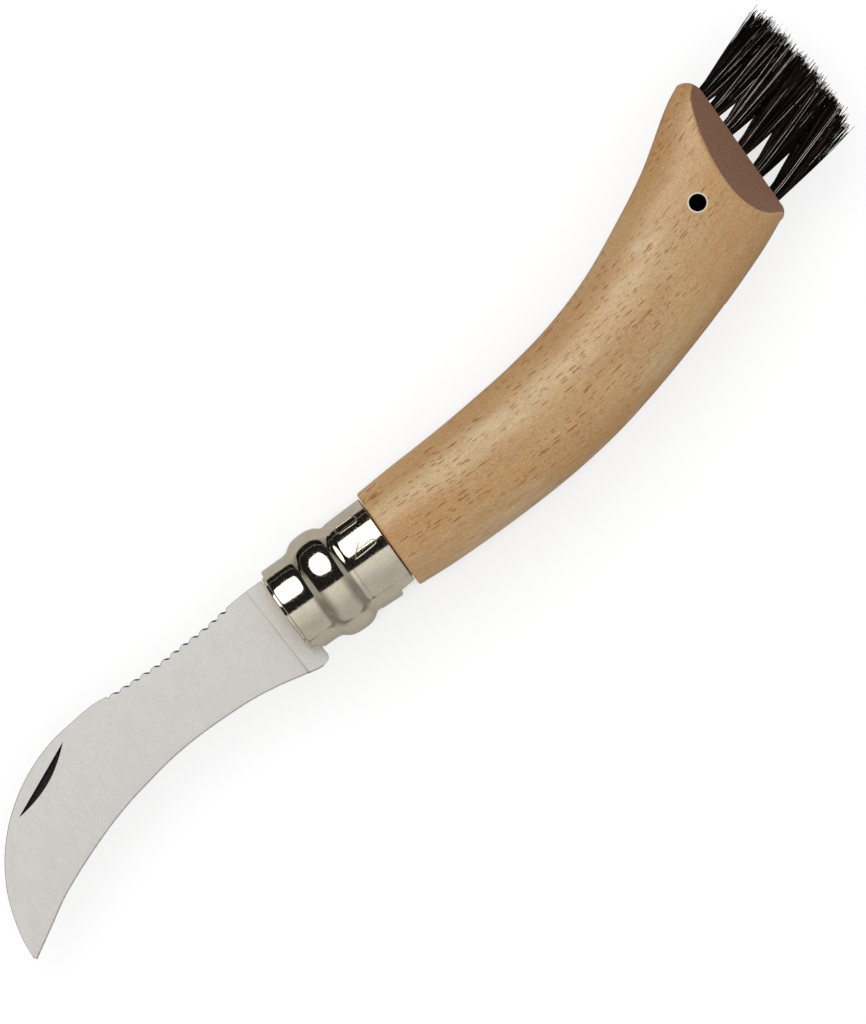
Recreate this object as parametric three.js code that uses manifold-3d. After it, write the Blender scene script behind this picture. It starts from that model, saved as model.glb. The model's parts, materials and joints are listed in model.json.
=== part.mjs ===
// A folding mushroom knife: a curved blade with a rippled back, held open or shut by a slotted
// ring that turns on a fixed ferrule, and a curved wooden handle with a brush set in its butt.
// Millimetres. In the drawing the pivot lies at x = 0 and the collar's axis at y = 0. The blade
// reaches to -X, the handle to +X, the blade's back looks to +Y and its marked side to +Z.
import * as THREE from "three";
import { mergeVertices } from "three/addons/utils/BufferGeometryUtils.js";
import Module from "manifold-3d";

const wasm = await Module();
wasm.setup();

// Clearances
const runningGap = 0.15; // the ring on the ferrule, the pin in its holes, the tuft in its bore
const restGap = 0.3; // pieces that lie against each other
const neckGap = 0.12; // the wooden neck inside the ferrule
const sideGap = 0.3; // the blade to each wall of its slot
const floorGap = 1; // the shut blade's edge to the floor of its slot
const overrun = 5; // how far every cutter passes the faces that it cuts

// Pivot and motions
const pivotDrop = 2; // the pivot below the collar's axis
const foldDegrees = 177; // from open to shut
const turnDegrees = 45; // the ring from free to locked
const pinRadius = 1.2;
const pinHeadRadius = 1.8;
const pinHeadRim = 0.35;
const pinHeadDome = 0.45;

// Fixed ferrule, a slotted tapered tube
const ferruleReach = 10.55; // from the pivot to its front edge
const ferruleLength = 23.3;
const ferruleFrontRadius = 8.05;
const ferruleRearRadius = 8.45;
const ferruleWall = 0.7;
const ferruleLip = 0.2; // rounding of its front edge

// Locking ring, a split sleeve with a hollow bead that runs over the heads of the pin
const ringInset = 0.6; // its front edge behind the ferrule's
const ringTailInset = 0.1; // its rear edge before the ferrule's
const ringFrontRadius = 9.2;
const ringWaistRadius = 9.5; // just behind the bead
const ringRearRadius = 9.85;
const ringEdge = 0.25; // rounding of both ends
const beadRadius = 10.75;
const beadWidth = 7.3;
const beadFlat = 3.7;
const beadWall = 0.9;
const kneeShare = 0.55; // of the bead's side, where its rounding turns
const ringSlotWidth = 3;
const frontFlareDepth = 2.4; // corners of the slot at the front edge
const frontFlareReach = 5.6;
const rearFlareDepth = 3.8; // corners of the slot at the rear edge
const rearFlareReach = 5;
const frontFlareShares = [[0, 1], [0.5, 0.82], [1, 0]];
const rearFlareShares = [[0, 1], [0.79, 0.88], [1, 0]];

// Blade
const bladeThickness = 1.8;
const bladeLength = 75.8; // from the heel to the tip
const bladeBackHeight = 7.8; // the back at the collar, above the collar's axis
const bladeDrop = 33.7; // from that height down to the tip
const heelReach = 10.35; // from the pivot to the lowest point of the heel
const edgeThickness = 0.12;
const honedWidth = 0.5; // strip along the edge
const flatLength = 3.4; // unground length before the collar
const grindRun = 0.7; // length over which the ground face starts
const bellyDownShare = 0.4; // how far down the ground face its middle line lies
const bellyPower = 1.35; // swell of the ground face, 1 being flat
const thinTipShare = 0.45; // how much thinner the back is at the tip
const backShares = [
  [0, 0], [0.055, 0.001], [0.12, 0.014], [0.187, 0.031], [0.254, 0.037], [0.32, 0.045],
  [0.387, 0.042], [0.453, 0.036], [0.52, 0.023], [0.586, 0.036], [0.653, 0.058], [0.719, 0.104],
  [0.785, 0.176], [0.851, 0.282], [0.904, 0.404], [0.943, 0.532], [0.971, 0.664], [0.993, 0.836],
  [1, 0.985],
];
const edgeShares = [
  [0, 0.586], [0.017, 0.583], [0.056, 0.564], [0.122, 0.533], [0.188, 0.513], [0.255, 0.506],
  [0.321, 0.505], [0.387, 0.511], [0.454, 0.528], [0.52, 0.555], [0.586, 0.586], [0.652, 0.628],
  [0.719, 0.681], [0.785, 0.74], [0.851, 0.808], [0.917, 0.896], [0.971, 0.968], [0.995, 1],
];
const rippleStart = 8.7; // from the collar, along the back
const ripplePitch = 2.27;
const rippleCount = 12;
const rippleDepth = 0.5;
const rippleShares = [0, 0.1, 0.28, 0.5, 0.72, 0.9];
const nickStart = 48.3; // from the collar, along the back
const nickLength = 16.4;
const nickInset = 1.6; // below the back
const nickWidth = 1.5;
const nickFloor = 0.25; // lowest line, under its upper edge, above the blade's middle plane
const nickRise = 0.45; // of its floor across its width

// Tang, the part of the blade that lies in the collar
const shoulderHeight = 7; // stop under the ferrule's roof
const shoulderLength = 1;
const tangTop = 3.5;
const tangFoot = 7.6; // below the collar's axis
const tangRadius = 7;
const kickInset = 1.85; // rear face of the heel's kick, behind its lowest point
const kickRiseShares = [[0.95, 0.45], [1, 0.3], [0.7, 0.1]];

// Handle
const handleLength = 95.9;
const handleFrontTop = 10.75;
const handleFrontFoot = 9.95;
const handleFrontHalfWidth = 10.3;
const handleFrontRound = 0.4; // rounding of the wood's front edge
const handleMiddleHalfWidth = 10.85;
const buttHalfWidth = 9.35;
const buttTopHeight = 38.6;
const buttFootHeight = 6.85;
const buttTopRadius = 3;
const buttFootRadius = 1.7;
const ridgeHalfWidth = 2.5; // flat between the two bevels of the butt
const lanyardRadius = 1.75;
const lanyardInset = 13.3; // from the butt
const frontWidestShare = 0.5;
const buttWidestShare = 0.43;
const middleShare = 0.4; // where the handle is thickest
const lanyardShare = 0.55; // of the height of the handle there
const runShares = [0, 0.079, 0.185, 0.29, 0.395, 0.5, 0.606, 0.71, 0.815, 0.921];
const topShares = [0, 0.02, 0.039, 0.07, 0.113, 0.185, 0.303, 0.469, 0.662, 0.912];
const footShares = [0, -0.024, -0.027, -0.009, 0.036, 0.125, 0.265, 0.43, 0.62, 0.842];

// Brush: six tufts in a row, each folded over a flat staple at the bottom of its bore
const tuftRowFoot = 11.4; // lowest tuft above the collar's axis
const tuftRowHeight = 22.8;
const boreRadius = 1.5;
const boreDepth = 7;
const sliceDepth = 1.2; // of the ridge's wood that each pair of tufts holds
const bristleLength = 20.3;
const bristleRadius = 0.11;
const bristlePitch = 0.29;
const bristleRoot = 0.5; // how deep the strands are rooted in the slice
const stapleThickness = 0.4;
const stapleDepth = 1.3;
const tuftPlaceShares = [0, 0.232, 0.452, 0.658, 0.846, 1];
const tuftLengthShares = [0.93, 1, 0.99, 0.97, 0.92, 0.87];
const tuftRings = 4;
const tuftFootDegrees = 13;
const tuftTopDegrees = 19;
const spreadAlongShare = 1.5; // tip of a tuft against its root, along the row
const spreadAcrossShare = 1.9;
const raggedShare = 0.07; // how much shorter some strands are
const curlShare = 0.03; // sideways bend of a tuft against its length

// Facets
const roundFacets = 72;
const smallFacets = 24;
const handleFacets = 44;
const handleSteps = 26;
const cornerSteps = 4;
const arcSteps = 14;
const domeSteps = 4;

// Places that follow
const pivot = new THREE.Vector2(0, -pivotDrop);
const ferruleFront = -ferruleReach;
const ferruleRear = ferruleFront + ferruleLength;
const ringFront = ferruleFront + ringInset;
const ringRear = ferruleRear - ringTailInset;
const woodFront = ferruleRear + restGap;
const butt = woodFront + handleLength;
const halfBlade = bladeThickness / 2;
const slotHalfWidth = halfBlade + sideGap;

// Solids
function solidFrom(vertProperties, triVerts) {
  const made = new wasm.Manifold(new wasm.Mesh({ numProp: 3, vertProperties, triVerts }));
  if (made.volume() > 0) return made;
  return new wasm.Manifold(
    new wasm.Mesh({ numProp: 3, vertProperties, triVerts: triVerts.slice().reverse() }),
  );
}

function solid(geometry) {
  const bare = geometry.clone();
  bare.deleteAttribute("normal");
  bare.deleteAttribute("uv");
  const merged = mergeVertices(bare);
  const kept = [];
  const index = merged.index.array;
  for (let i = 0; i < index.length; i += 3) {
    const [a, b, c] = index.slice(i, i + 3);
    if (a !== b && b !== c && c !== a) kept.push(a, b, c);
  }
  return solidFrom(merged.attributes.position.array, new Uint32Array(kept));
}

function mesh(name, body, color, roughness, metalness) {
  const made = body.getMesh();
  const geometry = new THREE.BufferGeometry();
  geometry.setAttribute("position", new THREE.BufferAttribute(made.vertProperties, 3));
  geometry.setIndex(new THREE.BufferAttribute(made.triVerts, 1));
  const faceted = geometry.toNonIndexed();
  faceted.computeVertexNormals();
  const material = new THREE.MeshStandardMaterial({ color, roughness, metalness });
  const piece = new THREE.Mesh(faceted, material);
  piece.name = name;
  return piece;
}

// A ring or a round bar about the collar's axis; profile points are [x, radius]
function turned(profile) {
  const points = profile.map(([x, radius]) => new THREE.Vector2(radius, x));
  return solid(new THREE.LatheGeometry(points, roundFacets).rotateZ(-Math.PI / 2));
}

// A plate with the outline of 2-D points, as thick as twice its half thickness, about z = 0
function plate(points, halfThickness) {
  const options = { depth: 2 * halfThickness, bevelEnabled: false };
  const geometry = new THREE.ExtrudeGeometry(new THREE.Shape(points), options);
  return solid(geometry.translate(0, 0, -halfThickness));
}

// A round bar along Z
function barAlongZ(place, radius, halfLength) {
  const geometry = new THREE.CylinderGeometry(radius, radius, 2 * halfLength, smallFacets);
  return solid(geometry.rotateX(Math.PI / 2).translate(place.x, place.y, 0));
}

function block(low, high) {
  const size = high.clone().sub(low);
  const middle = low.clone().add(high).divideScalar(2);
  const geometry = new THREE.BoxGeometry(size.x, size.y, size.z);
  return solid(geometry.translate(middle.x, middle.y, middle.z));
}

// A solid through closed rings of equally many points, capped from the middle of its end rings
function loft(rings) {
  const count = rings[0].length;
  const points = rings.flat();
  const faces = [];
  for (let r = 0; r + 1 < rings.length; r += 1) {
    for (let i = 0; i < count; i += 1) {
      const a = r * count + i;
      const b = r * count + ((i + 1) % count);
      faces.push(a, b, b + count, a, b + count, a + count);
    }
  }
  for (const [ring, start, turn] of [[rings[0], 0, 1], [rings.at(-1), points.length - count, 0]]) {
    const middle = ring.reduce((sum, p) => sum.add(p), new THREE.Vector3()).divideScalar(count);
    points.push(middle);
    const hub = points.length - 1;
    for (let i = 0; i < count; i += 1) {
      const pair = [start + i, start + ((i + 1) % count)];
      faces.push(hub, pair[turn], pair[1 - turn]);
    }
  }
  return solidFrom(new Float32Array(points.flatMap((p) => p.toArray())), new Uint32Array(faces));
}

// A point of the open blade, where it lies when the blade is shut
function shutPlace(point) {
  return point.clone().rotateAround(pivot, THREE.MathUtils.degToRad(foldDegrees));
}

// Ferrule
function ferruleRadiusAt(x) {
  const share = (x - ferruleFront) / ferruleLength;
  return THREE.MathUtils.lerp(ferruleFrontRadius, ferruleRearRadius, share);
}

function ferruleSolid() {
  const tube = turned([
    [ferruleFront, ferruleFrontRadius - ferruleWall],
    [ferruleFront, ferruleFrontRadius - ferruleLip],
    [ferruleFront + ferruleLip, ferruleRadiusAt(ferruleFront + ferruleLip)],
    [ferruleRear, ferruleRearRadius],
    [ferruleRear, ferruleRearRadius - ferruleWall],
    [ferruleFront, ferruleFrontRadius - ferruleWall],
  ]);
  const slot = block(
    new THREE.Vector3(ferruleFront - overrun, -ferruleRearRadius - overrun, -slotHalfWidth),
    new THREE.Vector3(ferruleRear + overrun, 0, slotHalfWidth),
  );
  const pinHoles = barAlongZ(pivot, pinRadius + runningGap, ferruleRearRadius + overrun);
  return tube.subtract(slot).subtract(pinHoles);
}

// Locking ring
function ringSlotCorner(end, inward, depth, reach, shares) {
  const points = [new THREE.Vector2(end - inward * overrun, 0)];
  points.push(new THREE.Vector2(end - inward * overrun, reach));
  for (const [alongShare, acrossShare] of shares) {
    points.push(new THREE.Vector2(end + inward * depth * alongShare, reach * acrossShare));
  }
  const options = { depth: ringRearRadius + overrun, bevelEnabled: false };
  const corner = new THREE.ExtrudeGeometry(new THREE.Shape(points), options);
  const near = solid(corner.rotateX(Math.PI / 2));
  return near.add(near.mirror([0, 0, 1]));
}

// A sector below the axis on the far side of the slot, from low to high along the axis
function farSector(low, high) {
  const radius = beadRadius + overrun;
  const slotAngle = Math.atan(ringSlotWidth / 2 / ringFrontRadius);
  const sweep = THREE.MathUtils.degToRad(turnDegrees) + slotAngle;
  const points = [new THREE.Vector2(0, 0)];
  for (let i = 0; i <= arcSteps; i += 1) {
    const angle = (sweep * i) / arcSteps;
    points.push(new THREE.Vector2(radius * Math.sin(angle), -radius * Math.cos(angle)));
  }
  const options = { depth: high - low, bevelEnabled: false };
  const sector = new THREE.ExtrudeGeometry(new THREE.Shape(points), options);
  return solid(sector.rotateY(Math.PI / 2).translate(low, 0, 0));
}

function ringSolid() {
  const bore = (x) => ferruleRadiusAt(x) + runningGap;
  const grooveRadius = beadRadius - beadWall;
  const groove = beadWidth / 2 - beadWall;
  const knee = THREE.MathUtils.lerp(ringFrontRadius, beadRadius, kneeShare);
  const kneeX = THREE.MathUtils.lerp(beadWidth, beadFlat, kneeShare) / 2;
  const sleeve = turned([
    [ringFront, bore(ringFront)],
    [ringFront, ringFrontRadius - ringEdge],
    [ringFront + ringEdge, ringFrontRadius],
    [-beadWidth / 2, ringFrontRadius],
    [-kneeX, knee],
    [-beadFlat / 2, beadRadius],
    [beadFlat / 2, beadRadius],
    [kneeX, knee],
    [beadWidth / 2, ringWaistRadius],
    [ringRear - ringEdge, ringRearRadius],
    [ringRear, ringRearRadius - ringEdge],
    [ringRear, bore(ringRear)],
    [groove, bore(groove)],
    [beadFlat / 2, grooveRadius],
    [-beadFlat / 2, grooveRadius],
    [-groove, bore(-groove)],
    [ringFront, bore(ringFront)],
  ]);
  const slot = block(
    new THREE.Vector3(ringFront - overrun, -beadRadius - overrun, -ringSlotWidth / 2),
    new THREE.Vector3(ringRear + overrun, 0, ringSlotWidth / 2),
  );
  const kickFace = kickInset - heelReach;
  const shoulderFace = new THREE.Vector2(ferruleFront + shoulderLength, shoulderHeight);
  return sleeve
    .subtract(slot)
    .subtract(ringSlotCorner(ringFront, 1, frontFlareDepth, frontFlareReach, frontFlareShares))
    .subtract(ringSlotCorner(ringRear, -1, rearFlareDepth, rearFlareReach, rearFlareShares))
    .subtract(farSector(ringFront - overrun, kickFace + restGap))
    .subtract(farSector(shutPlace(shoulderFace).x - restGap, ringRear + overrun));
}

// Blade
function bladeCurve(start, shares) {
  const points = shares.map(([runShare, dropShare]) => {
    const x = start - runShare * (bladeLength + heelReach + start);
    return new THREE.Vector2(x, bladeBackHeight - dropShare * bladeDrop);
  });
  return new THREE.SplineCurve(points);
}
const backCurve = bladeCurve(ferruleFront - restGap, backShares);
const edgeCurve = bladeCurve(-heelReach, edgeShares);
const backLength = backCurve.getLength();

function rippleOffset(along) {
  const count = (along - rippleStart) / ripplePitch;
  if (count < 0 || count > rippleCount) return 0;
  return -rippleDepth * (1 - Math.sin(Math.PI * (count % 1)));
}

function bladeStations() {
  const stations = [0, flatLength, flatLength + grindRun];
  for (let i = 0; i < rippleCount; i += 1) {
    for (const share of rippleShares) stations.push(rippleStart + (i + share) * ripplePitch);
  }
  const rippleEnd = rippleStart + rippleCount * ripplePitch;
  const plain = backLength - rippleEnd;
  const count = roundFacets / 2;
  for (let i = 0; i <= count; i += 1) stations.push(rippleEnd + (plain * i) / count);
  return stations;
}

function bladeRing(along) {
  const share = along / backLength;
  const back = backCurve.getPointAt(share);
  const normal = backCurve.getTangentAt(share).rotateAround(new THREE.Vector2(), -Math.PI / 2);
  back.addScaledVector(normal, rippleOffset(along));
  const edge = edgeCurve.getPointAt(share);
  const ground = along > flatLength;
  const honed = 1 - Math.min(honedWidth / back.distanceTo(edge), bellyDownShare);
  const thin = halfBlade * (1 - share ** 4 * thinTipShare);
  const upper = [0, bellyDownShare, honed, 1].map((down) => {
    const place = back.clone().lerp(edge, down);
    const wedge = THREE.MathUtils.lerp(thin, edgeThickness, Math.min(down / honed, 1) ** bellyPower);
    const half = down === 1 ? edgeThickness / 2 : wedge;
    return new THREE.Vector3(place.x, place.y, ground ? half : halfBlade);
  });
  const lower = upper.map((p) => new THREE.Vector3(p.x, p.y, -p.z)).reverse();
  return [...upper, ...lower];
}

function tangPlate() {
  const shoulderFront = ferruleFront - restGap;
  const shoulderRear = ferruleFront + shoulderLength;
  const heel = edgeCurve.getPointAt(0);
  const kickHeight = -tangFoot - heel.y;
  const topAngle = Math.asin((tangTop + pivotDrop) / tangRadius);
  const footAngle = -Math.asin((tangFoot - pivotDrop) / tangRadius);
  const points = [
    new THREE.Vector2(heel.x - kickInset, heel.y + kickHeight / 2),
    heel,
  ];
  for (const [acrossShare, riseShare] of kickRiseShares.toReversed()) {
    const x = heel.x + kickInset * acrossShare;
    points.push(new THREE.Vector2(x, heel.y + kickHeight * riseShare));
  }
  points.push(new THREE.Vector2(heel.x + kickInset, -tangFoot));
  for (let i = 0; i <= arcSteps; i += 1) {
    const angle = THREE.MathUtils.lerp(footAngle, topAngle, i / arcSteps);
    const spoke = new THREE.Vector2(tangRadius, 0).rotateAround(new THREE.Vector2(), angle);
    points.push(spoke.add(pivot));
  }
  points.push(new THREE.Vector2(shoulderRear, tangTop));
  points.push(new THREE.Vector2(shoulderRear, shoulderHeight));
  points.push(new THREE.Vector2(shoulderFront - shoulderLength, shoulderHeight));
  return plate(points, halfBlade);
}

// The nail nick, a crescent that is deepest along its straight upper edge
function nickCutter() {
  const from = backCurve.getPointAt(nickStart / backLength);
  const to = backCurve.getPointAt((nickStart + nickLength) / backLength);
  const along = to.clone().sub(from);
  const points = [new THREE.Vector2(0, 0)];
  for (let i = 1; i < arcSteps; i += 1) {
    const share = i / arcSteps;
    const bulge = nickWidth * Math.sin(Math.PI * share);
    points.push(new THREE.Vector2(nickLength * share, bulge));
  }
  points.push(new THREE.Vector2(nickLength, 0));
  const options = { depth: overrun, bevelEnabled: false };
  const crescent = new THREE.ExtrudeGeometry(new THREE.Shape(points), options);
  crescent.rotateX(Math.atan(nickRise / nickWidth));
  crescent.rotateZ(along.angle());
  const inset = along.clone().rotateAround(new THREE.Vector2(), Math.PI / 2).setLength(nickInset);
  return solid(crescent.translate(from.x + inset.x, from.y + inset.y, nickFloor));
}

function bladeSolid() {
  const leaf = loft(bladeStations().map(bladeRing));
  const pinHole = barAlongZ(pivot, pinRadius + runningGap, halfBlade + overrun);
  return leaf.add(tangPlate()).subtract(pinHole).subtract(nickCutter());
}

// Pivot pin, a rivet with a low dome at each end
function pinSolid() {
  const seat = ferruleRadiusAt(0) + runningGap;
  const rim = seat + pinHeadRim;
  const points = [];
  for (let i = 0; i <= domeSteps; i += 1) {
    const angle = (Math.PI / 2) * (i / domeSteps);
    const out = pinHeadRadius * Math.sin(angle);
    points.push(new THREE.Vector2(out, rim + pinHeadDome * Math.cos(angle)));
  }
  points.push(new THREE.Vector2(pinHeadRadius, seat));
  points.push(new THREE.Vector2(pinRadius, seat));
  for (const point of points.toReversed()) points.push(new THREE.Vector2(point.x, -point.y));
  const geometry = new THREE.LatheGeometry(points, smallFacets).rotateX(Math.PI / 2);
  return solid(geometry.translate(pivot.x, pivot.y, 0));
}

// Handle
function handleCurve(start, end, shares) {
  return runShares.map((runShare, i) => {
    const x = woodFront + runShare * handleLength;
    return new THREE.Vector2(x, start + shares[i] * (end - start));
  });
}
const topCurve = new THREE.SplineCurve([
  ...handleCurve(handleFrontTop, buttTopHeight, topShares),
  new THREE.Vector2(butt - buttTopRadius, buttTopHeight),
]);
const footCurve = new THREE.SplineCurve([
  ...handleCurve(-handleFrontFoot, buttFootHeight, footShares),
  new THREE.Vector2(butt - buttFootRadius, buttFootHeight),
]);

function halfWidthAt(share) {
  if (share < middleShare) {
    const rise = THREE.MathUtils.smoothstep(share, 0, middleShare);
    return THREE.MathUtils.lerp(handleFrontHalfWidth, handleMiddleHalfWidth, rise);
  }
  const fall = THREE.MathUtils.smoothstep(share, middleShare, 1);
  return THREE.MathUtils.lerp(handleMiddleHalfWidth, buttHalfWidth, fall);
}

function handleRing(top, foot, share) {
  const widestShare = THREE.MathUtils.lerp(frontWidestShare, buttWidestShare, share);
  const middle = foot.clone().lerp(top, widestShare);
  const ring = [];
  for (let i = 0; i < handleFacets; i += 1) {
    const angle = (2 * Math.PI * i) / handleFacets;
    const rise = Math.sin(angle);
    const place = middle.clone().lerp(rise > 0 ? top : foot, Math.abs(rise));
    ring.push(new THREE.Vector3(place.x, place.y, halfWidthAt(share) * Math.cos(angle)));
  }
  return ring;
}

// The wood's front edge, rounded in a quarter circle
function frontRings() {
  const full = handleRing(topCurve.getPoint(0), footCurve.getPoint(0), 0);
  const middle = full.reduce((sum, p) => sum.add(p), new THREE.Vector3()).divideScalar(full.length);
  return [0, 0.5, 1].map((step) => {
    const angle = (Math.PI / 2) * step;
    const inward = 1 - (handleFrontRound * (1 - Math.sin(angle))) / handleFrontHalfWidth;
    return full.map((point) => {
      const place = middle.clone().lerp(point, inward);
      place.x += handleFrontRound * (1 - Math.cos(angle));
      return place;
    });
  });
}

function handleBlank() {
  const rings = frontRings();
  for (let i = 1; i <= handleSteps; i += 1) {
    const share = i / handleSteps;
    rings.push(handleRing(topCurve.getPoint(share), footCurve.getPoint(share), share));
  }
  for (let i = 1; i <= cornerSteps; i += 1) {
    const angle = (Math.PI / 2) * (i / cornerSteps);
    const out = Math.sin(angle);
    const down = 1 - Math.cos(angle);
    const top = new THREE.Vector2(
      butt - buttTopRadius * (1 - out),
      buttTopHeight - buttTopRadius * down,
    );
    const foot = new THREE.Vector2(
      butt - buttFootRadius * (1 - out),
      buttFootHeight + buttFootRadius * down,
    );
    rings.push(handleRing(top, foot, 1));
  }
  return loft(rings);
}

// The wedge that one 45 degree bevel takes off the butt
function bevelCutter(side) {
  const reach = buttHalfWidth + overrun;
  const points = [
    new THREE.Vector2(butt + overrun, ridgeHalfWidth - overrun),
    new THREE.Vector2(butt + overrun, reach),
    new THREE.Vector2(butt + ridgeHalfWidth - reach, reach),
  ];
  const options = { depth: 2 * buttTopHeight + 2 * overrun, bevelEnabled: false };
  const wedge = new THREE.ExtrudeGeometry(new THREE.Shape(points), options);
  wedge.rotateX(-Math.PI / 2).translate(0, -buttTopHeight, 0);
  const cutter = solid(wedge);
  return side > 0 ? cutter.mirror([0, 0, 1]) : cutter;
}

// The blade's slot follows the edge of the shut blade, and ends on the circle of its tip
function bladeSlot() {
  const heel = shutPlace(edgeCurve.getPointAt(0));
  const roof = heel.y + floorGap;
  const tipRadius = edgeCurve.getPointAt(1).distanceTo(pivot) + floorGap;
  const points = [
    new THREE.Vector2(ferruleFront - overrun, -handleFrontFoot - overrun),
    new THREE.Vector2(ferruleFront - overrun, roof),
    new THREE.Vector2(heel.x + floorGap, roof),
  ];
  const count = smallFacets;
  for (let i = 2; i <= count; i += 1) {
    const place = shutPlace(edgeCurve.getPointAt(i / count));
    points.push(new THREE.Vector2(place.x, place.y + floorGap));
  }
  const tip = shutPlace(edgeCurve.getPointAt(1));
  const tipAngle = tip.clone().sub(pivot).angle();
  const footAngle = Math.asin((-handleFrontFoot - overrun + pivotDrop) / tipRadius);
  for (let i = 0; i <= arcSteps; i += 1) {
    const angle = THREE.MathUtils.lerp(tipAngle, footAngle, i / arcSteps);
    const spoke = new THREE.Vector2(tipRadius, 0).rotateAround(new THREE.Vector2(), angle);
    points.push(spoke.add(pivot));
  }
  return plate(points, slotHalfWidth);
}

function neckSolid() {
  const rear = ferruleRearRadius - ferruleWall - neckGap;
  return turned([
    [ferruleFront + neckGap, 0],
    [ferruleFront + neckGap, ferruleFrontRadius - ferruleWall - neckGap],
    [ferruleRear, rear],
    [woodFront + floorGap, rear],
    [woodFront + floorGap, 0],
  ]);
}

function lanyardHole() {
  const share = 1 - lanyardInset / handleLength;
  const foot = footCurve.getPointAt(share);
  const top = topCurve.getPointAt(share);
  const place = foot.clone().lerp(top, lanyardShare);
  place.x = butt - lanyardInset;
  return barAlongZ(place, lanyardRadius, handleMiddleHalfWidth + overrun);
}

// Brush
const tufts = tuftPlaceShares.map((placeShare, i) => ({
  y: tuftRowFoot + placeShare * tuftRowHeight,
  length: bristleLength * tuftLengthShares[i],
  lean: THREE.MathUtils.degToRad(
    THREE.MathUtils.lerp(tuftFootDegrees, tuftTopDegrees, placeShare),
  ),
}));

function barAlongX(low, high, y, radius) {
  const geometry = new THREE.CylinderGeometry(radius, radius, high - low, smallFacets / 2);
  return solid(geometry.rotateZ(Math.PI / 2).translate((low + high) / 2, y, 0));
}

// One strand as three triangles joined by a skin; the tuft widens evenly, so none cross
function strand(tuft, along, across, ragged) {
  const length = tuft.length * (1 - raggedShare * ragged);
  return [-bristleRoot / length, 0.5, 1].map((share) => {
    const out = Math.max(share, 0);
    const centre = new THREE.Vector3(
      butt + share * length,
      tuft.y + along * THREE.MathUtils.lerp(1, spreadAlongShare, out)
        + Math.tan(tuft.lean) * share * length * (1 - curlShare + curlShare * out),
      across * THREE.MathUtils.lerp(1, spreadAcrossShare, out),
    );
    return [0, 1, 2].map((corner) => {
      const angle = (2 * Math.PI * corner) / 3;
      const spoke = new THREE.Vector3(0, Math.cos(angle), Math.sin(angle));
      return centre.clone().addScaledVector(spoke, bristleRadius);
    });
  });
}

function tuftStrands(tuft) {
  const strands = [];
  for (let ring = 0; ring <= tuftRings; ring += 1) {
    const count = Math.max(6 * ring, 1);
    for (let i = 0; i < count; i += 1) {
      const angle = (2 * Math.PI * i) / count;
      const along = ring * bristlePitch * Math.cos(angle);
      const across = ring * bristlePitch * Math.sin(angle);
      const ragged = ((ring * 7 + i * 3) % 5) / 4;
      strands.push(strand(tuft, along, across, ragged));
    }
  }
  return strands;
}

// Closed prisms that don't touch, all in one geometry
function prisms(strands) {
  const points = [];
  const faces = [];
  for (const rings of strands) {
    const start = points.length;
    points.push(...rings.flat());
    faces.push(start, start + 2, start + 1);
    for (let ring = 0; ring + 1 < rings.length; ring += 1) {
      for (let i = 0; i < 3; i += 1) {
        const a = start + ring * 3 + i;
        const b = start + ring * 3 + ((i + 1) % 3);
        faces.push(a, b, b + 3, a, b + 3, a + 3);
      }
    }
    const end = points.length - 3;
    faces.push(end, end + 1, end + 2);
  }
  return solidFrom(new Float32Array(points.flatMap((p) => p.toArray())), new Uint32Array(faces));
}

// Two tufts, with their folded roots and the slice of the ridge's wood that they stand in
function tuftPair(pair, wood, low, high) {
  const reach = buttHalfWidth + overrun;
  const zone = block(
    new THREE.Vector3(butt - sliceDepth, low, -reach),
    new THREE.Vector3(butt + overrun, high, reach),
  );
  let body = wood.intersect(zone).add(prisms(pair.flatMap(tuftStrands)));
  for (const tuft of pair) {
    const bottom = butt - boreDepth + runningGap;
    const root = barAlongX(bottom, butt - bristleRoot, tuft.y, boreRadius - runningGap);
    const straddle = block(
      new THREE.Vector3(
        bottom - overrun,
        tuft.y - stapleThickness / 2 - runningGap,
        -boreRadius,
      ),
      new THREE.Vector3(
        bottom + stapleDepth + runningGap,
        tuft.y + stapleThickness / 2 + runningGap,
        boreRadius,
      ),
    );
    body = body.add(root.subtract(straddle));
  }
  return body;
}

function stapleSolid(tuft) {
  const bottom = butt - boreDepth + runningGap;
  const half = boreRadius - runningGap;
  return block(
    new THREE.Vector3(bottom, tuft.y - stapleThickness / 2, -half),
    new THREE.Vector3(bottom + stapleDepth, tuft.y + stapleThickness / 2, half),
  );
}

function handleSolid(wood) {
  const reach = buttHalfWidth + overrun;
  const seam = block(
    new THREE.Vector3(butt - sliceDepth - restGap, buttFootHeight - overrun, -reach),
    new THREE.Vector3(butt + overrun, buttTopHeight + overrun, reach),
  );
  let body = wood.subtract(seam).add(neckSolid()).subtract(bladeSlot()).subtract(lanyardHole());
  body = body.subtract(barAlongZ(pivot, pinRadius + runningGap, ferruleRearRadius + overrun));
  for (const tuft of tufts) {
    body = body.subtract(barAlongX(butt - boreDepth, butt + overrun, tuft.y, boreRadius));
  }
  return body;
}

// Assembly
const steel = 0xc9c7c2;
const polished = 0xdedcd6;
const beech = 0xcda578;
const bristle = 0x1d1a18;
const wood = handleBlank().subtract(bevelCutter(1)).subtract(bevelCutter(-1));
const knife = new THREE.Group();
knife.add(mesh("handle", handleSolid(wood), beech, 0.5, 0));
knife.add(mesh("fixed_ferrule", ferruleSolid(), polished, 0.25, 1));
knife.add(mesh("locking_ring", ringSolid(), polished, 0.2, 1));
knife.add(mesh("blade", bladeSolid(), steel, 0.3, 1));
knife.add(mesh("pivot_pin", pinSolid(), steel, 0.35, 1));

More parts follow.
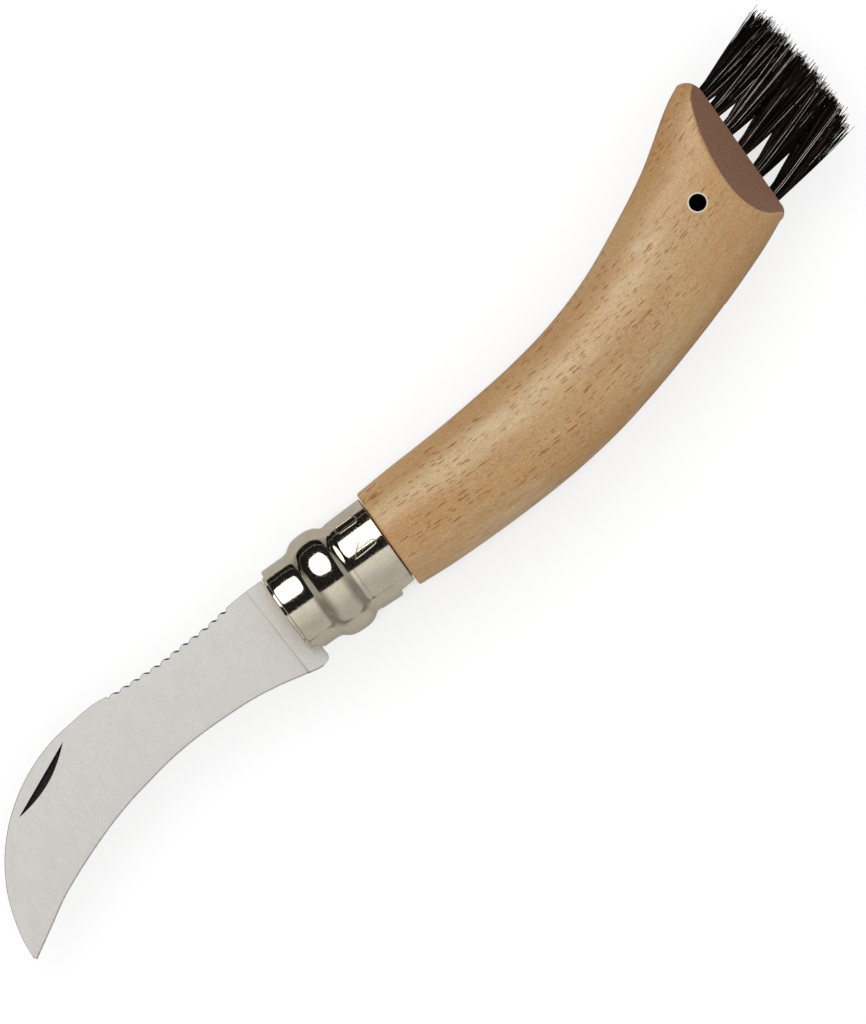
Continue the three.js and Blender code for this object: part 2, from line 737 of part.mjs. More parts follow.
const pairNames = ["bristles_lower", "bristles_middle", "bristles_upper"];
pairNames.forEach((name, i) => {
  const pair = tufts.slice(2 * i, 2 * i + 2);
  const below = tufts[2 * i - 1];
  const above = tufts[2 * i + 2];
  const low = below ? (below.y + pair[0].y + restGap) / 2 : buttFootHeight - overrun;
  const high = above ? (pair[1].y + above.y - restGap) / 2 : buttTopHeight + overrun;
  knife.add(mesh(name, tuftPair(pair, wood, low, high), bristle, 0.7, 0));
});
tufts.forEach((tuft, i) => {
  knife.add(mesh(`tuft_staple_${i + 1}`, stapleSolid(tuft), steel, 0.4, 1));
});

// The knife lies on its side: its box stands on z = 0 with its middle over the origin
knife.updateMatrixWorld(true);
const box = new THREE.Box3().setFromObject(knife);
const centre = box.getCenter(new THREE.Vector3());
knife.position.set(-centre.x, -centre.y, -box.min.z);

export default knife;
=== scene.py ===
import json
import math
import random

import bmesh
import bpy
import numpy as np
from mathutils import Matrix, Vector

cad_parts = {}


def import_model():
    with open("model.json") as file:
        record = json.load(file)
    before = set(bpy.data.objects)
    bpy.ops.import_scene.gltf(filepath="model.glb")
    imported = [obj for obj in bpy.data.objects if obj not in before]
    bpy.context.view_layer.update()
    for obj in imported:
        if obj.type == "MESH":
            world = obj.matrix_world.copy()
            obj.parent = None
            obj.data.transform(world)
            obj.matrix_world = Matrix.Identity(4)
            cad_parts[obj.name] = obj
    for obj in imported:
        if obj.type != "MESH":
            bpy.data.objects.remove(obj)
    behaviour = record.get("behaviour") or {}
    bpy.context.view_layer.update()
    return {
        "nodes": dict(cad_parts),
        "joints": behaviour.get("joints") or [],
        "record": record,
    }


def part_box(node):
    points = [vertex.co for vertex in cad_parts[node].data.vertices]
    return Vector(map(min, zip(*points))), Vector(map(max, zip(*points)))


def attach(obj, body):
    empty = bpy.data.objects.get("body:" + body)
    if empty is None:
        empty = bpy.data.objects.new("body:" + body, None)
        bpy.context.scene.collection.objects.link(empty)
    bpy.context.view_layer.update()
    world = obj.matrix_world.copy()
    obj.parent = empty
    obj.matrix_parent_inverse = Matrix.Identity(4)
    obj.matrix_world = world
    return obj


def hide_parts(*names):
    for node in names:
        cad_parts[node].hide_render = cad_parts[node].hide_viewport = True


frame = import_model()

joints = {joint["name"]: joint for joint in frame["joints"]}
ORIGIN = np.array(joints["ring_turn"]["pos_m"])
PIVOT = np.array(joints["blade_fold"]["pos_m"])[:2] - ORIGIN[:2]
FOLD = math.radians(joints["blade_fold"]["range_deg"][1])
TURN = math.radians(joints["ring_turn"]["range_deg"][1])
OVERRUN = 0.005  # of every cutter past the faces that it cuts


def drawn_box(node):
    return np.array(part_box(node)) - ORIGIN


ferrule_low, ferrule_high = drawn_box("fixed_ferrule")
ring_low, ring_high = drawn_box("locking_ring")
blade_low, blade_high = drawn_box("blade")
handle_high = drawn_box("handle")[1]

# Collar
FERRULE_FRONT = ferrule_low[0]
FERRULE_REAR = ferrule_high[0]
FERRULE_FRONT_RADIUS = 0.00805
FERRULE_REAR_RADIUS = ferrule_high[2]
FERRULE_WALL = 0.0007
FERRULE_LIP = 0.0002
PIN_HOLE_RADIUS = 0.00135
RING_FRONT = ring_low[0]
RING_REAR = ring_high[0] + 0.0002
RING_EDGE = 0.00025
RING_SLOT = 0.003
RING_GAP = 0.00015
RING_LEAST_WALL = 0.0004
SLOT_LIMIT = 0.98  # of the radius, which half the slot stays under
BEAD_GROOVE_RADIUS = 0.00985
BEAD_GROOVE_SHARES = [-0.225, -0.15, 0.15, 0.225]  # of the ring's length
RING_PROFILE = [
    (-0.00995, 0.00912), (-0.0093, 0.00917), (-0.0077, 0.0092), (-0.0060, 0.00919), (-0.0052, 0.0092),
    (-0.0046, 0.00926), (-0.0040, 0.00945),
    (-0.00345, 0.00985), (-0.0026, 0.01037), (-0.0014, 0.01067), (0.0, 0.01075), (0.0014, 0.01067),
    (0.0026, 0.0103), (0.0033, 0.0098), (0.00385, 0.00948), (0.0044, 0.00943), (0.0050, 0.00956),
    (0.0058, 0.00961), (0.0090, 0.00973), (0.0119, 0.00981), (0.01265, 0.00985),
]
MARK_WIDTH = 0.00028
MARK_HEIGHT = 0.00009
MARK_SECTION = [(1, -1.0), (0.9, 0.0), (0.45, 0.85), (0, 1.0), (-0.45, 0.85), (-0.9, 0.0), (-1, -1.0)]
FRONT_FLARE = [(0.0, 0.0056), (0.0012, 0.0046), (0.0024, 0.0)]  # along the axis, across the slot
REAR_FLARE = [(0.0, 0.005), (0.003, 0.0044), (0.0038, 0.0)]
KICK_FACE = -0.0085
SHOULDER = np.array([-0.00955, 0.007])
NOTCH_GAP = 0.0003
NOTCH_CORNER = 0.0005

# Blade
HALF_BLADE = blade_high[2]
BLADE_TIP = blade_low[0]
BACK_START = FERRULE_FRONT - 0.0003
HEEL = -0.01035
BACK_HEIGHT = blade_high[1]
BLADE_DROP = blade_high[1] - blade_low[1]
EDGE_THICKNESS = 0.00012
HONED_WIDTH = 0.00028
FLAT_LENGTH = 0.0034
GRIND_RUN = 0.0007
# The row at the flat's end, this wide, is painted dark: a painted shade line where the grind starts
GRIND_LINE = 0.00008
KEEN_HALF = EDGE_THICKNESS / 4
THIN_TIP_SHARE = 0.45
THIN_TIP_POWER = 4
BELLY_POWER = 1.35
BACK_SHARES = [
    (0, 0), (0.055, 0.001), (0.12, 0.014), (0.187, 0.031), (0.254, 0.037), (0.32, 0.045), (0.387, 0.042),
    (0.453, 0.036), (0.52, 0.023), (0.586, 0.036), (0.653, 0.058), (0.719, 0.104), (0.785, 0.176),
    (0.851, 0.282), (0.904, 0.404), (0.943, 0.532), (0.971, 0.664), (0.993, 0.836), (1, 0.985),
]
EDGE_SHARES = [
    (0, 0.586), (0.017, 0.583), (0.056, 0.564), (0.122, 0.533), (0.188, 0.513), (0.255, 0.506),
    (0.321, 0.505), (0.387, 0.511), (0.454, 0.528), (0.52, 0.555), (0.586, 0.586), (0.652, 0.628),
    (0.719, 0.681), (0.785, 0.74), (0.851, 0.808), (0.917, 0.896), (0.971, 0.968), (0.995, 1),
]
RIPPLE_START = 0.0087
RIPPLE_PITCH = 0.00227
RIPPLE_COUNT = 12
RIPPLE_DEPTH = 0.0005
RIPPLE_CHAMFER = 0.0004
RIPPLE_CUT_SHARE = 0.48  # of a ripple, on the collar's side, that is chamfered deeper
BACK_CHAMFER = 0.0001
CHAMFER_SLOPE_SHARE = 0.55  # the depth of the back's chamfer against its width
NICK_START = 0.0483
NICK_LENGTH = 0.0164
NICK_INSET = 0.0016
NICK_WIDTH = 0.0015
NICK_FLOOR = 0.00025  # above the blade's middle, along the nick's straight upper edge
NICK_RISE = 0.00045
NICK_POWER = 0.9  # how round its outline is
SHOULDER_LENGTH = 0.001
TANG_TOP = 0.0035
TANG_FOOT = 0.0076
TANG_RADIUS = 0.007
TANG_CHAMFER = 0.00015
KICK_INSET = 0.00185
KICK_RISE_SHARES = [(0.95, 0.45), (1, 0.3), (0.7, 0.1)]

# Handle
WOOD_FRONT = FERRULE_REAR + 0.0003
BUTT = WOOD_FRONT + 0.0959
HANDLE_LENGTH = BUTT - WOOD_FRONT
FRONT_TOP = 0.01075
FRONT_FOOT = 0.00995
FRONT_HALF_WIDTH = 0.0103
FRONT_ROUND = 0.0004
MIDDLE_HALF_WIDTH = handle_high[2]
BUTT_HALF_WIDTH = 0.00935
BUTT_TOP = handle_high[1]
BUTT_FOOT = 0.00685
BUTT_TOP_RADIUS = 0.003
BUTT_FOOT_RADIUS = 0.0017
RIDGE_HALF_WIDTH = 0.0025
RIDGE_ROUND = 0.00025
BEVEL_ROUND = 0.0004
BEVEL_REACH = 0.012
FRONT_WIDEST_SHARE = 0.5
BUTT_WIDEST_SHARE = 0.43
MIDDLE_SHARE = 0.4
RUN_SHARES = [0, 0.079, 0.185, 0.29, 0.395, 0.5, 0.606, 0.71, 0.815, 0.921]
TOP_SHARES = [0, 0.02, 0.039, 0.07, 0.113, 0.185, 0.303, 0.469, 0.662, 0.912]
FOOT_SHARES = [0, -0.024, -0.027, -0.009, 0.036, 0.125, 0.265, 0.43, 0.62, 0.842]
NECK_GAP = 0.00012
SIDE_GAP = 0.0003
HALF_SLOT = HALF_BLADE + SIDE_GAP
FLOOR_GAP = 0.001
SLOT_RIM = 0.0003
ROOF_START_SHARE = 0.08  # of the edge, where the slot's roof starts to follow it
RIM_REACH_SHARE = 0.9
CLOSE_SHARE = 0.86  # of the run, where the sections start to lie closer
FIRST_SECTION = 1.3  # place of the first full section, against the rounding
mounts = {mount["name"]: mount for mount in frame["record"]["mounts"]}
LANYARD = np.array(mounts["lanyard_hole"]["pos_m"])[:2] - ORIGIN[:2]
LANYARD_RADIUS = 0.00165
LANYARD_PALE_RING = (LANYARD_RADIUS + 0.00035, LANYARD_RADIUS + 0.0002)
GRAIN_BEND_START = 0.045
GRAIN_BEND = 2.9  # metres of rise over the square of metres past the start
QUIET_BEND = 4.5  # further rise of the quiet strip along the foot

# Brush
TUFT_ROW = (0.0114, 0.0342)
TUFT_PLACE_SHARES = [0, 0.232, 0.452, 0.658, 0.846, 1]
TUFT_LEANS = (math.radians(17.5), math.radians(13))
TIP_HEIGHTS = [0.012, 0.014, 0.018, 0.030, 0.042]
TIP_REACHES = [0.0178, 0.0190, 0.0200, 0.0196, 0.0175]  # out of the butt, at those heights
BORE_RADIUS = 0.0015
BORE_DEPTH = 0.007
TUFT_RADIUS = 0.00135
TUFT_SPREAD_ALONG = 0.0036
TUFT_SPREAD_ACROSS = 0.0031
HAIRS_PER_TUFT = 360
HAIR_RADIUS = 0.000085
HAIR_SIDES = 5
HAIR_STEPS = 9
HAIR_ROOT = 0.0035
HAIR_TAPER = 0.35
HAIR_WANDER = (0.00042, 0.0004)
HAIR_WAVE = 0.0001
HAIR_WAVE_TURN = 5
HAIR_UNEVEN = (0.8, 1.2)
OPENING_POWER = 1.6
WANDER_POWER = 1.5
PALE_SHARE = 0.1
PALE_THICKNESS = 0.62  # against the other hairs
BROWN_SHARE = 0.25
SHORT_SHARE = 0.12
SHORT_REACH = (0.6, 0.95)
LOCKS_AROUND = 7
LOCK_CORE = 0.6  # of the tuft's radius, which has locks of its own
LOCK_WANDER = 0.0005
LOCK_SHORTER = 0.0005
TIP_MIDDLE = -0.0006  # past those reaches
TIP_SCATTER = 0.00065

# Studio
KEY_ANGLE = 43  # degrees from straight up, towards +Y
KEY_X = 0.03
KEY_DISTANCE = 0.62
KEY_WIDTH = 0.6
KEY_HEIGHT = 0.545
KEY_POWER = 2.15  # in reflections
SOFT_POWER = 1.3  # in what is lit
ROOM_LEVEL = 0.74
ROOM_REFLECTED = 0.64
ROOM_ENDS = 0.3
ROOM_GLOW = 1.6  # in reflections, next to the dark wall
ROOM_DARK = 0.015
ROOM_WALL = (0.93, 0.8)  # how far to the sides the dark wall reaches
ROOM_WALL_START = (math.radians(-6), math.radians(-3))
ROOM_ENDS_REACH = (0.25, 0.75)
ROOM_GLOW_REACH = (math.radians(-60), math.radians(-8))
FLOOR_HALF = 6.0
# Painted shade: the floor's colour where the knife lies close above it and under the lanyard hole
FLOOR_PAINTED_SHADE = 0.003  # in the narrow gap under the knife
FLOOR_PALE = 0.36
FLOOR_GLOW = 0.72
COVER_REACH = 0.008
COVER_RANGE = (0.25, 0.5)
# Painted shadow: a dark disc on the floor under the lanyard hole, fading out between these distances
HOLE_SHADE = (0.0045, 0.006)  # from the middle of the lanyard hole
CARD_FADE = (0.015, 0.045)
LENS = 135
SENSOR = 36
VIEW_HEIGHT = 0.1914
VIEW_TURN = -35.2  # degrees
VIEW_MIDDLE = np.array([0.02285, -0.0002])


# Curves and meshes
class Curve:
    """A smooth curve through points in the drawing's plane."""

    def __init__(self, points):
        p = np.array(points, float)
        spans = len(p) - 1
        t = np.linspace(0, spans, spans * 120 + 1)
        i = np.minimum(t.astype(int), spans - 1)
        w = (t - i)[:, None]
        before, a, b, after = (p[np.clip(i + k, 0, spans)] for k in (-1, 0, 1, 2))
        v0 = (b - before) / 2
        v1 = (after - a) / 2
        self.points = (2 * (a - b) + v0 + v1) * w**3 + (3 * (b - a) - 2 * v0 - v1) * w**2 + v0 * w + a
        steps = np.linalg.norm(np.diff(self.points, axis=0), axis=1)
        self.run = np.concatenate([[0], np.cumsum(steps)])
        self.length = self.run[-1]
        self.even = np.linspace(0, 1, len(t))

    def at(self, scale, places):
        return np.stack([np.interp(places, scale, self.points[:, k]) for k in (0, 1)], -1)

    def along(self, distance):
        """Points at distances along the curve."""
        return self.at(self.run, distance)

    def step(self, share):
        """Points at shares of the curve's spans, however long each is."""
        return self.at(self.even, share)

    def normal(self, distance):
        """Unit normals on the left of the curve."""
        step = self.length / 2000
        return left_of(self.along(distance + step) - self.along(distance - step))


def turn_about_pivot(point, angle):
    x, y = point - PIVOT
    turned = (x * math.cos(angle) - y * math.sin(angle), x * math.sin(angle) + y * math.cos(angle))
    return PIVOT + np.array(turned)


def add(name, data):
    """A new object in the scene."""
    made = bpy.data.objects.new(name, data)
    bpy.context.scene.collection.objects.link(made)
    return made


def mesh(name, points, faces):
    data = bpy.data.meshes.new(name)
    data.from_pydata([tuple(p) for p in points], [], faces)
    return add(name, data)


def make(name, points, faces, smooth_angle=35, paint=None):
    """An object from points in the drawing, shaded smooth up to that angle. Paint gives each face
    the number of its material."""
    made = mesh(name, np.array(points) + ORIGIN, faces)
    if paint is not None:
        made.data.polygons.foreach_set("material_index", [paint(i) for i in range(len(faces))])
    tidy(made, smooth_angle)
    return made


def tidy(thing, smooth_angle=35):
    """Merges doubles, turns the faces outward and sets the shading."""
    work = bmesh.new()
    work.from_mesh(thing.data)
    bmesh.ops.remove_doubles(work, verts=work.verts, dist=1e-7)
    bmesh.ops.dissolve_degenerate(work, dist=1e-8, edges=work.edges)
    bmesh.ops.recalc_face_normals(work, faces=work.faces)
    work.to_mesh(thing.data)
    work.free()
    thing.data.shade_smooth()
    thing.data.set_sharp_from_angle(angle=math.radians(smooth_angle))


def sheet_faces(rows, columns, closed=False, start=0):
    """Quads between rows of points, each row closed on itself or open."""
    faces = []
    for r in range(rows - 1):
        for c in range(columns if closed else columns - 1):
            a = start + r * columns + c
            b = start + r * columns + (c + 1) % columns
            faces.append((a, b, b + columns, a + columns))
    return faces


def loft(name, rings, smooth_angle=35, paint=None):
    """A closed solid through rings of equally many points, with flat ends."""
    count = len(rings[0])
    points = np.concatenate(rings)
    faces = sheet_faces(len(rings), count, closed=True)
    faces.append(tuple(range(count)))
    faces.append(tuple(range(len(points) - count, len(points))))
    return make(name, points, faces, smooth_angle, paint)


def circle(count):
    angles = np.arange(count) * 2 * math.pi / count
    return np.cos(angles), np.sin(angles)


def bar(name, start, way, radii_along, count=64):
    """A round solid from start along a way, through pairs of distance and radius."""
    start = np.array(start, float)
    way = np.array(way, float)
    side = np.cross(way, (0, 1, 0) if abs(way[1]) < 0.5 else (1, 0, 0))
    side /= np.linalg.norm(side)
    other = np.cross(way, side)
    cos, sin = circle(count)
    rings = []
    for distance, radius in radii_along:
        spokes = np.outer(cos, side) + np.outer(sin, other)
        rings.append(start + way * distance + radius * spokes)
    return loft(name, rings)


def drill(name, middle, radius, reach, count=48):
    """A round cutter through the flat of the knife."""
    return bar(name, (*middle, 0), (0, 0, 1), [(-reach, radius), (reach, radius)], count)


def cut(thing, other, smooth_angle=35, operation="DIFFERENCE"):
    """Cuts a solid by another one, which is used up, or joins the two."""
    step = thing.modifiers.new("step", "BOOLEAN")
    step.operation = operation
    step.solver = "EXACT"
    step.material_mode = "TRANSFER"
    step.object = other
    bpy.context.view_layer.update()
    result = bpy.data.meshes.new_from_object(thing.evaluated_get(bpy.context.evaluated_depsgraph_get()))
    thing.modifiers.clear()
    old = thing.data
    thing.data = result
    bpy.data.meshes.remove(old)
    bpy.data.objects.remove(other)
    tidy(thing, smooth_angle)


def left_of(way):
    """Unit vectors that point to the left of each way."""
    unit = way / np.linalg.norm(way, axis=-1, keepdims=True)
    return np.stack([-unit[..., 1], unit[..., 0]], -1)


def left_normals(p, closed=True):
    """Unit normals on the left of a path, at each of its points."""
    ahead = np.roll(p, -1, 0)
    behind = np.roll(p, 1, 0)
    if not closed:
        ahead[-1] = 2 * p[-1] - p[-2]
        behind[0] = 2 * p[0] - p[1]
    return left_of(ahead - behind)


def smooth_between(value, low, high):
    t = np.clip((value - low) / (high - low), 0, 1)
    return t * t * (3 - 2 * t)


def smallest(a, b, rounding):
    """The smaller of two values, with the corner between them rounded."""
    share = np.clip(0.5 + 0.5 * (b - a) / rounding, 0, 1)
    return b + (a - b) * share - rounding * share * (1 - share)


# Materials
class Shader:
    """A node material that is built line by line."""

    def __init__(self, name):
        self.material = bpy.data.materials.new(name)
        self.material.use_nodes = True
        self.tree = self.material.node_tree
        self.surface = self.tree.nodes["Principled BSDF"]
        coordinates = self.tree.nodes.new("ShaderNodeTexCoord")
        self.place = coordinates.outputs["Object"]
        self.local_normal = coordinates.outputs["Normal"]

    def node(self, kind, inputs=None, **settings):
        made = self.tree.nodes.new(kind)
        for key, value in settings.items():
            setattr(made, key, value)
        for key, value in (inputs or {}).items():
            if isinstance(value, bpy.types.NodeSocket):
                self.tree.links.new(value, made.inputs[key])
            else:
                made.inputs[key].default_value = value
        return made

    def link(self, socket, name):
        self.tree.links.new(socket, self.surface.inputs[name])

    def plain(self, name, value):
        self.surface.inputs[name].default_value = value

    def matte(self):
        self.plain("Roughness", 0.9)
        self.plain("Specular IOR Level", 0.0)

    def vector(self, operation, a, b, output="Vector"):
        return self.node("ShaderNodeVectorMath", {0: a, 1: b}, operation=operation).outputs[output]

    def axes(self, vector):
        return self.node("ShaderNodeSeparateXYZ", {0: vector}).outputs

    def scaled(self, scale, place):
        return self.node("ShaderNodeMapping", {"Vector": place, "Scale": scale}).outputs["Vector"]

    def noise(self, scale, detail=2.0, roughness=0.5, place=None, stretch=None, output="Fac"):
        place = place or self.place
        if stretch:
            place = self.scaled(stretch, place)
        inputs = {"Vector": place, "Scale": scale, "Detail": detail, "Roughness": roughness}
        return self.node("ShaderNodeTexNoise", inputs).outputs[output]

    def math(self, operation, a, b=0.0, c=0.0):
        return self.node("ShaderNodeMath", {0: a, 1: b, 2: c}, operation=operation).outputs[0]

    def times(self, a, b):
        return self.math("MULTIPLY", a, b)

    def range(self, value, low, high, new_low=0.0, new_high=1.0):
        inputs = {"Value": value, "From Min": low, "From Max": high, "To Min": new_low, "To Max": new_high}
        return self.node("ShaderNodeMapRange", inputs, interpolation_type="SMOOTHSTEP").outputs["Result"]

    def mix(self, factor, a, b):
        made = self.node("ShaderNodeMix", {0: factor}, data_type="RGBA", clamp_factor=True)
        for socket, value in ((made.inputs[6], a), (made.inputs[7], b)):
            if isinstance(value, bpy.types.NodeSocket):
                self.tree.links.new(value, socket)
            else:
                socket.default_value = (*value, 1)
        return made.outputs[2]

    def bump(self, height, strength, distance):
        inputs = {"Height": height, "Strength": strength, "Distance": distance}
        self.link(self.node("ShaderNodeBump", inputs).outputs["Normal"], "Normal")


def dashes(shader, cell, share, shift, place):
    """Short strokes along X, 1 in the middle and 0 outside. Each lies in a cell of that length, width
    and height, and share is how many cells have one."""
    moved = shader.vector("ADD", place, (shift, shift, shift))
    scaled = shader.scaled([1 / side for side in cell], moved)
    cells = shader.node("ShaderNodeTexVoronoi", {"Vector": scaled, "Scale": 1.0, "Randomness": 1.0})
    lot = shader.node("ShaderNodeSeparateColor", {0: cells.outputs["Color"]})
    shown = shader.math("LESS_THAN", lot.outputs["Red"], share)
    reach = shader.math("MULTIPLY_ADD", lot.outputs["Green"], 0.26, 0.2)
    distance = shader.math("DIVIDE", cells.outputs["Distance"], reach)
    return shader.times(shader.range(distance, 1.0, 0.7), shown)


def from_lanyard(shader, place):
    """Distance from the middle of the lanyard hole, at floor level."""
    return shader.vector("DISTANCE", place, (*(LANYARD + ORIGIN[:2]), 0), "Value")


def wood():
    shader = Shader("beech")
    axes = shader.axes(shader.place)
    behind = shader.math("SUBTRACT", axes["X"], GRAIN_BEND_START + ORIGIN[0])
    past = shader.math("MAXIMUM", behind, 0.0)
    squared = shader.times(past, past)
    across = shader.math("MULTIPLY_ADD", squared, -GRAIN_BEND, axes["Y"])
    above_foot = shader.math("MULTIPLY_ADD", squared, -QUIET_BEND, across)
    inputs = {"X": axes["X"], "Y": across, "Z": axes["Z"]}
    straight = shader.node("ShaderNodeCombineXYZ", inputs).outputs[0]
    bend = shader.noise(26, 2, 0.5, straight, output="Color")
    offset = shader.vector("MULTIPLY", bend, (0.001, 0.0024, 0.0024))
    warped = shader.vector("ADD", straight, offset)
    layers = shader.noise(110, 4, 0.6, warped, (0.16, 1, 1))
    patches = shader.noise(75, 3, 0.6, warped, (0.45, 1, 0.8))
    growth = shader.noise(1500, 2, 0.5, warped, (0.03, 0.07, 1))
    fibres = shader.noise(2600, 3, 0.75, warped, (0.1, 1, 1))
    grit = shader.noise(5200, 2, 0.7, warped, (0.45, 1, 1))
    colour = shader.mix(shader.range(layers, 0.36, 0.62), (0.56, 0.29, 0.095), (0.61, 0.39, 0.17))
    for noise, low, high, most, tint in (
        (patches, 0.52, 0.66, 0.85, (0.69, 0.50, 0.295)),
        (patches, 0.46, 0.34, 0.5, (0.54, 0.255, 0.08)),
        (growth, 0.5, 0.66, 0.35, (0.47, 0.24, 0.105)),
        (fibres, 0.44, 0.6, 0.4, (0.47, 0.25, 0.11)),
        (grit, 0.48, 0.66, 0.42, (0.74, 0.55, 0.325)),
        (grit, 0.48, 0.32, 0.42, (0.40, 0.20, 0.085)),
    ):
        colour = shader.mix(shader.range(noise, low, high, 0.0, most), colour, tint)
    long_rays = dashes(shader, (0.0034, 0.00044, 0.003), 0.34, 0.0, straight)
    short_rays = dashes(shader, (0.0018, 0.00034, 0.002), 0.36, 0.0137, straight)
    pale_rays = dashes(shader, (0.0030, 0.0006, 0.002), 0.14, 0.0291, straight)
    drift = shader.noise(130, 2, 0.5, warped, (0.5, 1, 1))
    zones = shader.range(drift, 0.36, 0.5, 0.25, 1.0)
    busy = shader.range(above_foot, ORIGIN[1] - 0.0075, ORIGIN[1] - 0.0035, 0.35, 1.0)
    zones = shader.times(zones, busy)
    long_rays = shader.times(long_rays, zones)
    short_rays = shader.times(short_rays, zones)
    # A lighter ring of colour round the rim of the lanyard hole
    pale_ring = shader.range(from_lanyard(shader, shader.vector("MULTIPLY", shader.place, (1, 1, 0))), *LANYARD_PALE_RING)
    for mask, most, tint in (
        (pale_rays, 0.25, (0.72, 0.55, 0.37)),
        (long_rays, 0.95, (0.37, 0.115, 0.022)),
        (short_rays, 0.92, (0.38, 0.125, 0.026)),
        (pale_ring, 0.9, (0.82, 0.72, 0.58)),
    ):
        colour = shader.mix(shader.times(mask, most), colour, tint)
    # Faces turned to the butt are dark: partly the end grain's own darker tone, partly painted shade for
    # faces turned from the light
    end_grain_and_shade = shader.range(shader.axes(shader.local_normal)["X"], 0.6, 0.66)
    specks = shader.noise(2600, 3, 0.65, straight)
    dark = shader.mix(shader.range(specks, 0.35, 0.68), (0.20, 0.088, 0.048), (0.30, 0.15, 0.09))
    shader.link(shader.mix(end_grain_and_shade, colour, dark), "Base Color")
    shader.link(shader.range(fibres, 0.3, 0.7, 0.34, 0.48), "Roughness")
    shader.plain("Specular IOR Level", 0.75)
    shader.plain("Specular Tint", (0.88, 1.0, 0.9, 1.0))
    pores = shader.math("MAXIMUM", long_rays, short_rays)
    shader.bump(shader.math("MULTIPLY_ADD", pores, -0.7, fibres), 0.5, 0.00005)
    return shader.material


def polished_steel():
    shader = Shader("polished_steel")
    waves = shader.noise(240, 2, 0.5)
    specks = shader.noise(2100, 3, 0.6)
    grain = shader.noise(3400, 2, 0.6)
    cloud = shader.noise(330, 3, 0.6)
    colour = shader.mix(shader.range(cloud, 0.35, 0.65), (0.60, 0.54, 0.425), (0.66, 0.60, 0.49))
    colour = shader.mix(shader.range(grain, 0.42, 0.62, 0.0, 0.35), colour, (0.48, 0.43, 0.34))
    colour = shader.mix(shader.range(specks, 0.55, 0.75, 0.0, 0.35), colour, (0.45, 0.39, 0.30))
    shader.link(colour, "Base Color")
    shader.plain("Metallic", 1.0)
    shader.link(shader.range(specks, 0.4, 0.75, 0.07, 0.16), "Roughness")
    shader.bump(shader.math("MULTIPLY_ADD", specks, 0.08, waves), 0.35, 0.00006)
    return shader.material


def satin_steel():
    shader = Shader("satin_steel")
    lines = shader.noise(1900, 3, 0.65, stretch=(1, 0.07, 1))
    cloud = shader.noise(420, 4, 0.6, stretch=(1, 0.6, 1))
    grit = shader.noise(3600, 3, 0.7, stretch=(1, 0.5, 1))
    colour = shader.mix(shader.range(cloud, 0.3, 0.7), (0.79, 0.77, 0.73), (0.82, 0.80, 0.76))
    colour = shader.mix(shader.range(grit, 0.45, 0.62, 0.0, 0.35), colour, (0.66, 0.64, 0.60))
    colour = shader.mix(shader.range(lines, 0.45, 0.75, 0.0, 0.15), colour, (0.66, 0.64, 0.59))
    shader.link(colour, "Base Color")
    shader.plain("Metallic", 0.4)
    shader.link(shader.range(grit, 0.3, 0.7, 0.62, 0.72), "Roughness")
    shader.bump(shader.math("MULTIPLY_ADD", grit, 0.8, lines), 0.35, 0.00002)
    return shader.material


def cut_steel(name, dark, light):
    """Steel that a file or stone has cut through, with its marks, painted darker than the faces beside it:
    painted shade and dark reflection.
    """
    shader = Shader(name)
    marks = shader.noise(2300, 3, 0.7)
    shader.link(shader.mix(shader.range(marks, 0.35, 0.7), dark, light), "Base Color")
    shader.plain("Metallic", 0.9)
    shader.link(shader.range(marks, 0.3, 0.7, 0.35, 0.55), "Roughness")
    shader.bump(marks, 0.3, 0.00002)
    return shader.material


def dark_steel():
    # Near-black steel for the nail nick: painted shade and dark reflection in the recess
    shader = Shader("nick_steel")
    scale = shader.noise(1800, 3, 0.6)
    colour = shader.mix(shader.range(scale, 0.35, 0.7), (0.004, 0.003, 0.003), (0.035, 0.02, 0.018))
    shader.link(colour, "Base Color")
    shader.plain("Metallic", 0.6)
    shader.link(shader.range(scale, 0.3, 0.7, 0.35, 0.6), "Roughness")
    return shader.material


def pin_steel():
    shader = Shader("pin_steel")
    grit = shader.noise(2400, 3, 0.6)
    shader.link(shader.mix(grit, (0.44, 0.42, 0.38), (0.60, 0.58, 0.54)), "Base Color")
    shader.plain("Metallic", 1.0)
    shader.link(shader.range(grit, 0.3, 0.7, 0.25, 0.42), "Roughness")
    shader.bump(grit, 0.2, 0.00002)
    return shader.material


def hair(name, dark, light, roughness, shine):
    shader = Shader(name)
    streaks = shader.noise(900, 2, 0.6, stretch=(0.12, 1, 1))
    shader.link(shader.mix(shader.range(streaks, 0.35, 0.65), dark, light), "Base Color")
    shader.link(shader.range(streaks, 0.3, 0.7, roughness, roughness + 0.15), "Roughness")
    shader.plain("Specular IOR Level", shine)
    return shader.material


def plain_wood(name, dark, light, roughness):
    """Near-black wood without a figure, for inside a drilled hole: painted shade in the hole."""
    shader = Shader(name)
    grit = shader.noise(2600, 3, 0.6)
    shader.link(shader.mix(shader.range(grit, 0.3, 0.7), dark, light), "Base Color")
    shader.link(shader.range(grit, 0.3, 0.7, roughness, roughness + 0.1), "Roughness")
    shader.bump(grit, 0.4, 0.00003)
    return shader.material


def dress(thing, material, slot, body, *nodes):
    """Gives a piece its material, hangs it on the body that it rides on and hides the solids that it stands
    for.
    """
    thing.data.materials.clear()
    thing.data.materials.append(material)
    settle(thing, slot, body, *nodes)


def settle(thing, slot, body, *nodes):
    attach(thing, body)
    if nodes:
        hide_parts(*nodes)


# Blade
def blade_curve(start, shares):
    return Curve([
        (start - run * (start - BLADE_TIP), BACK_HEIGHT - drop * BLADE_DROP) for run, drop in shares
    ])


back_curve = blade_curve(BACK_START, BACK_SHARES)
edge_curve = blade_curve(HEEL, EDGE_SHARES)


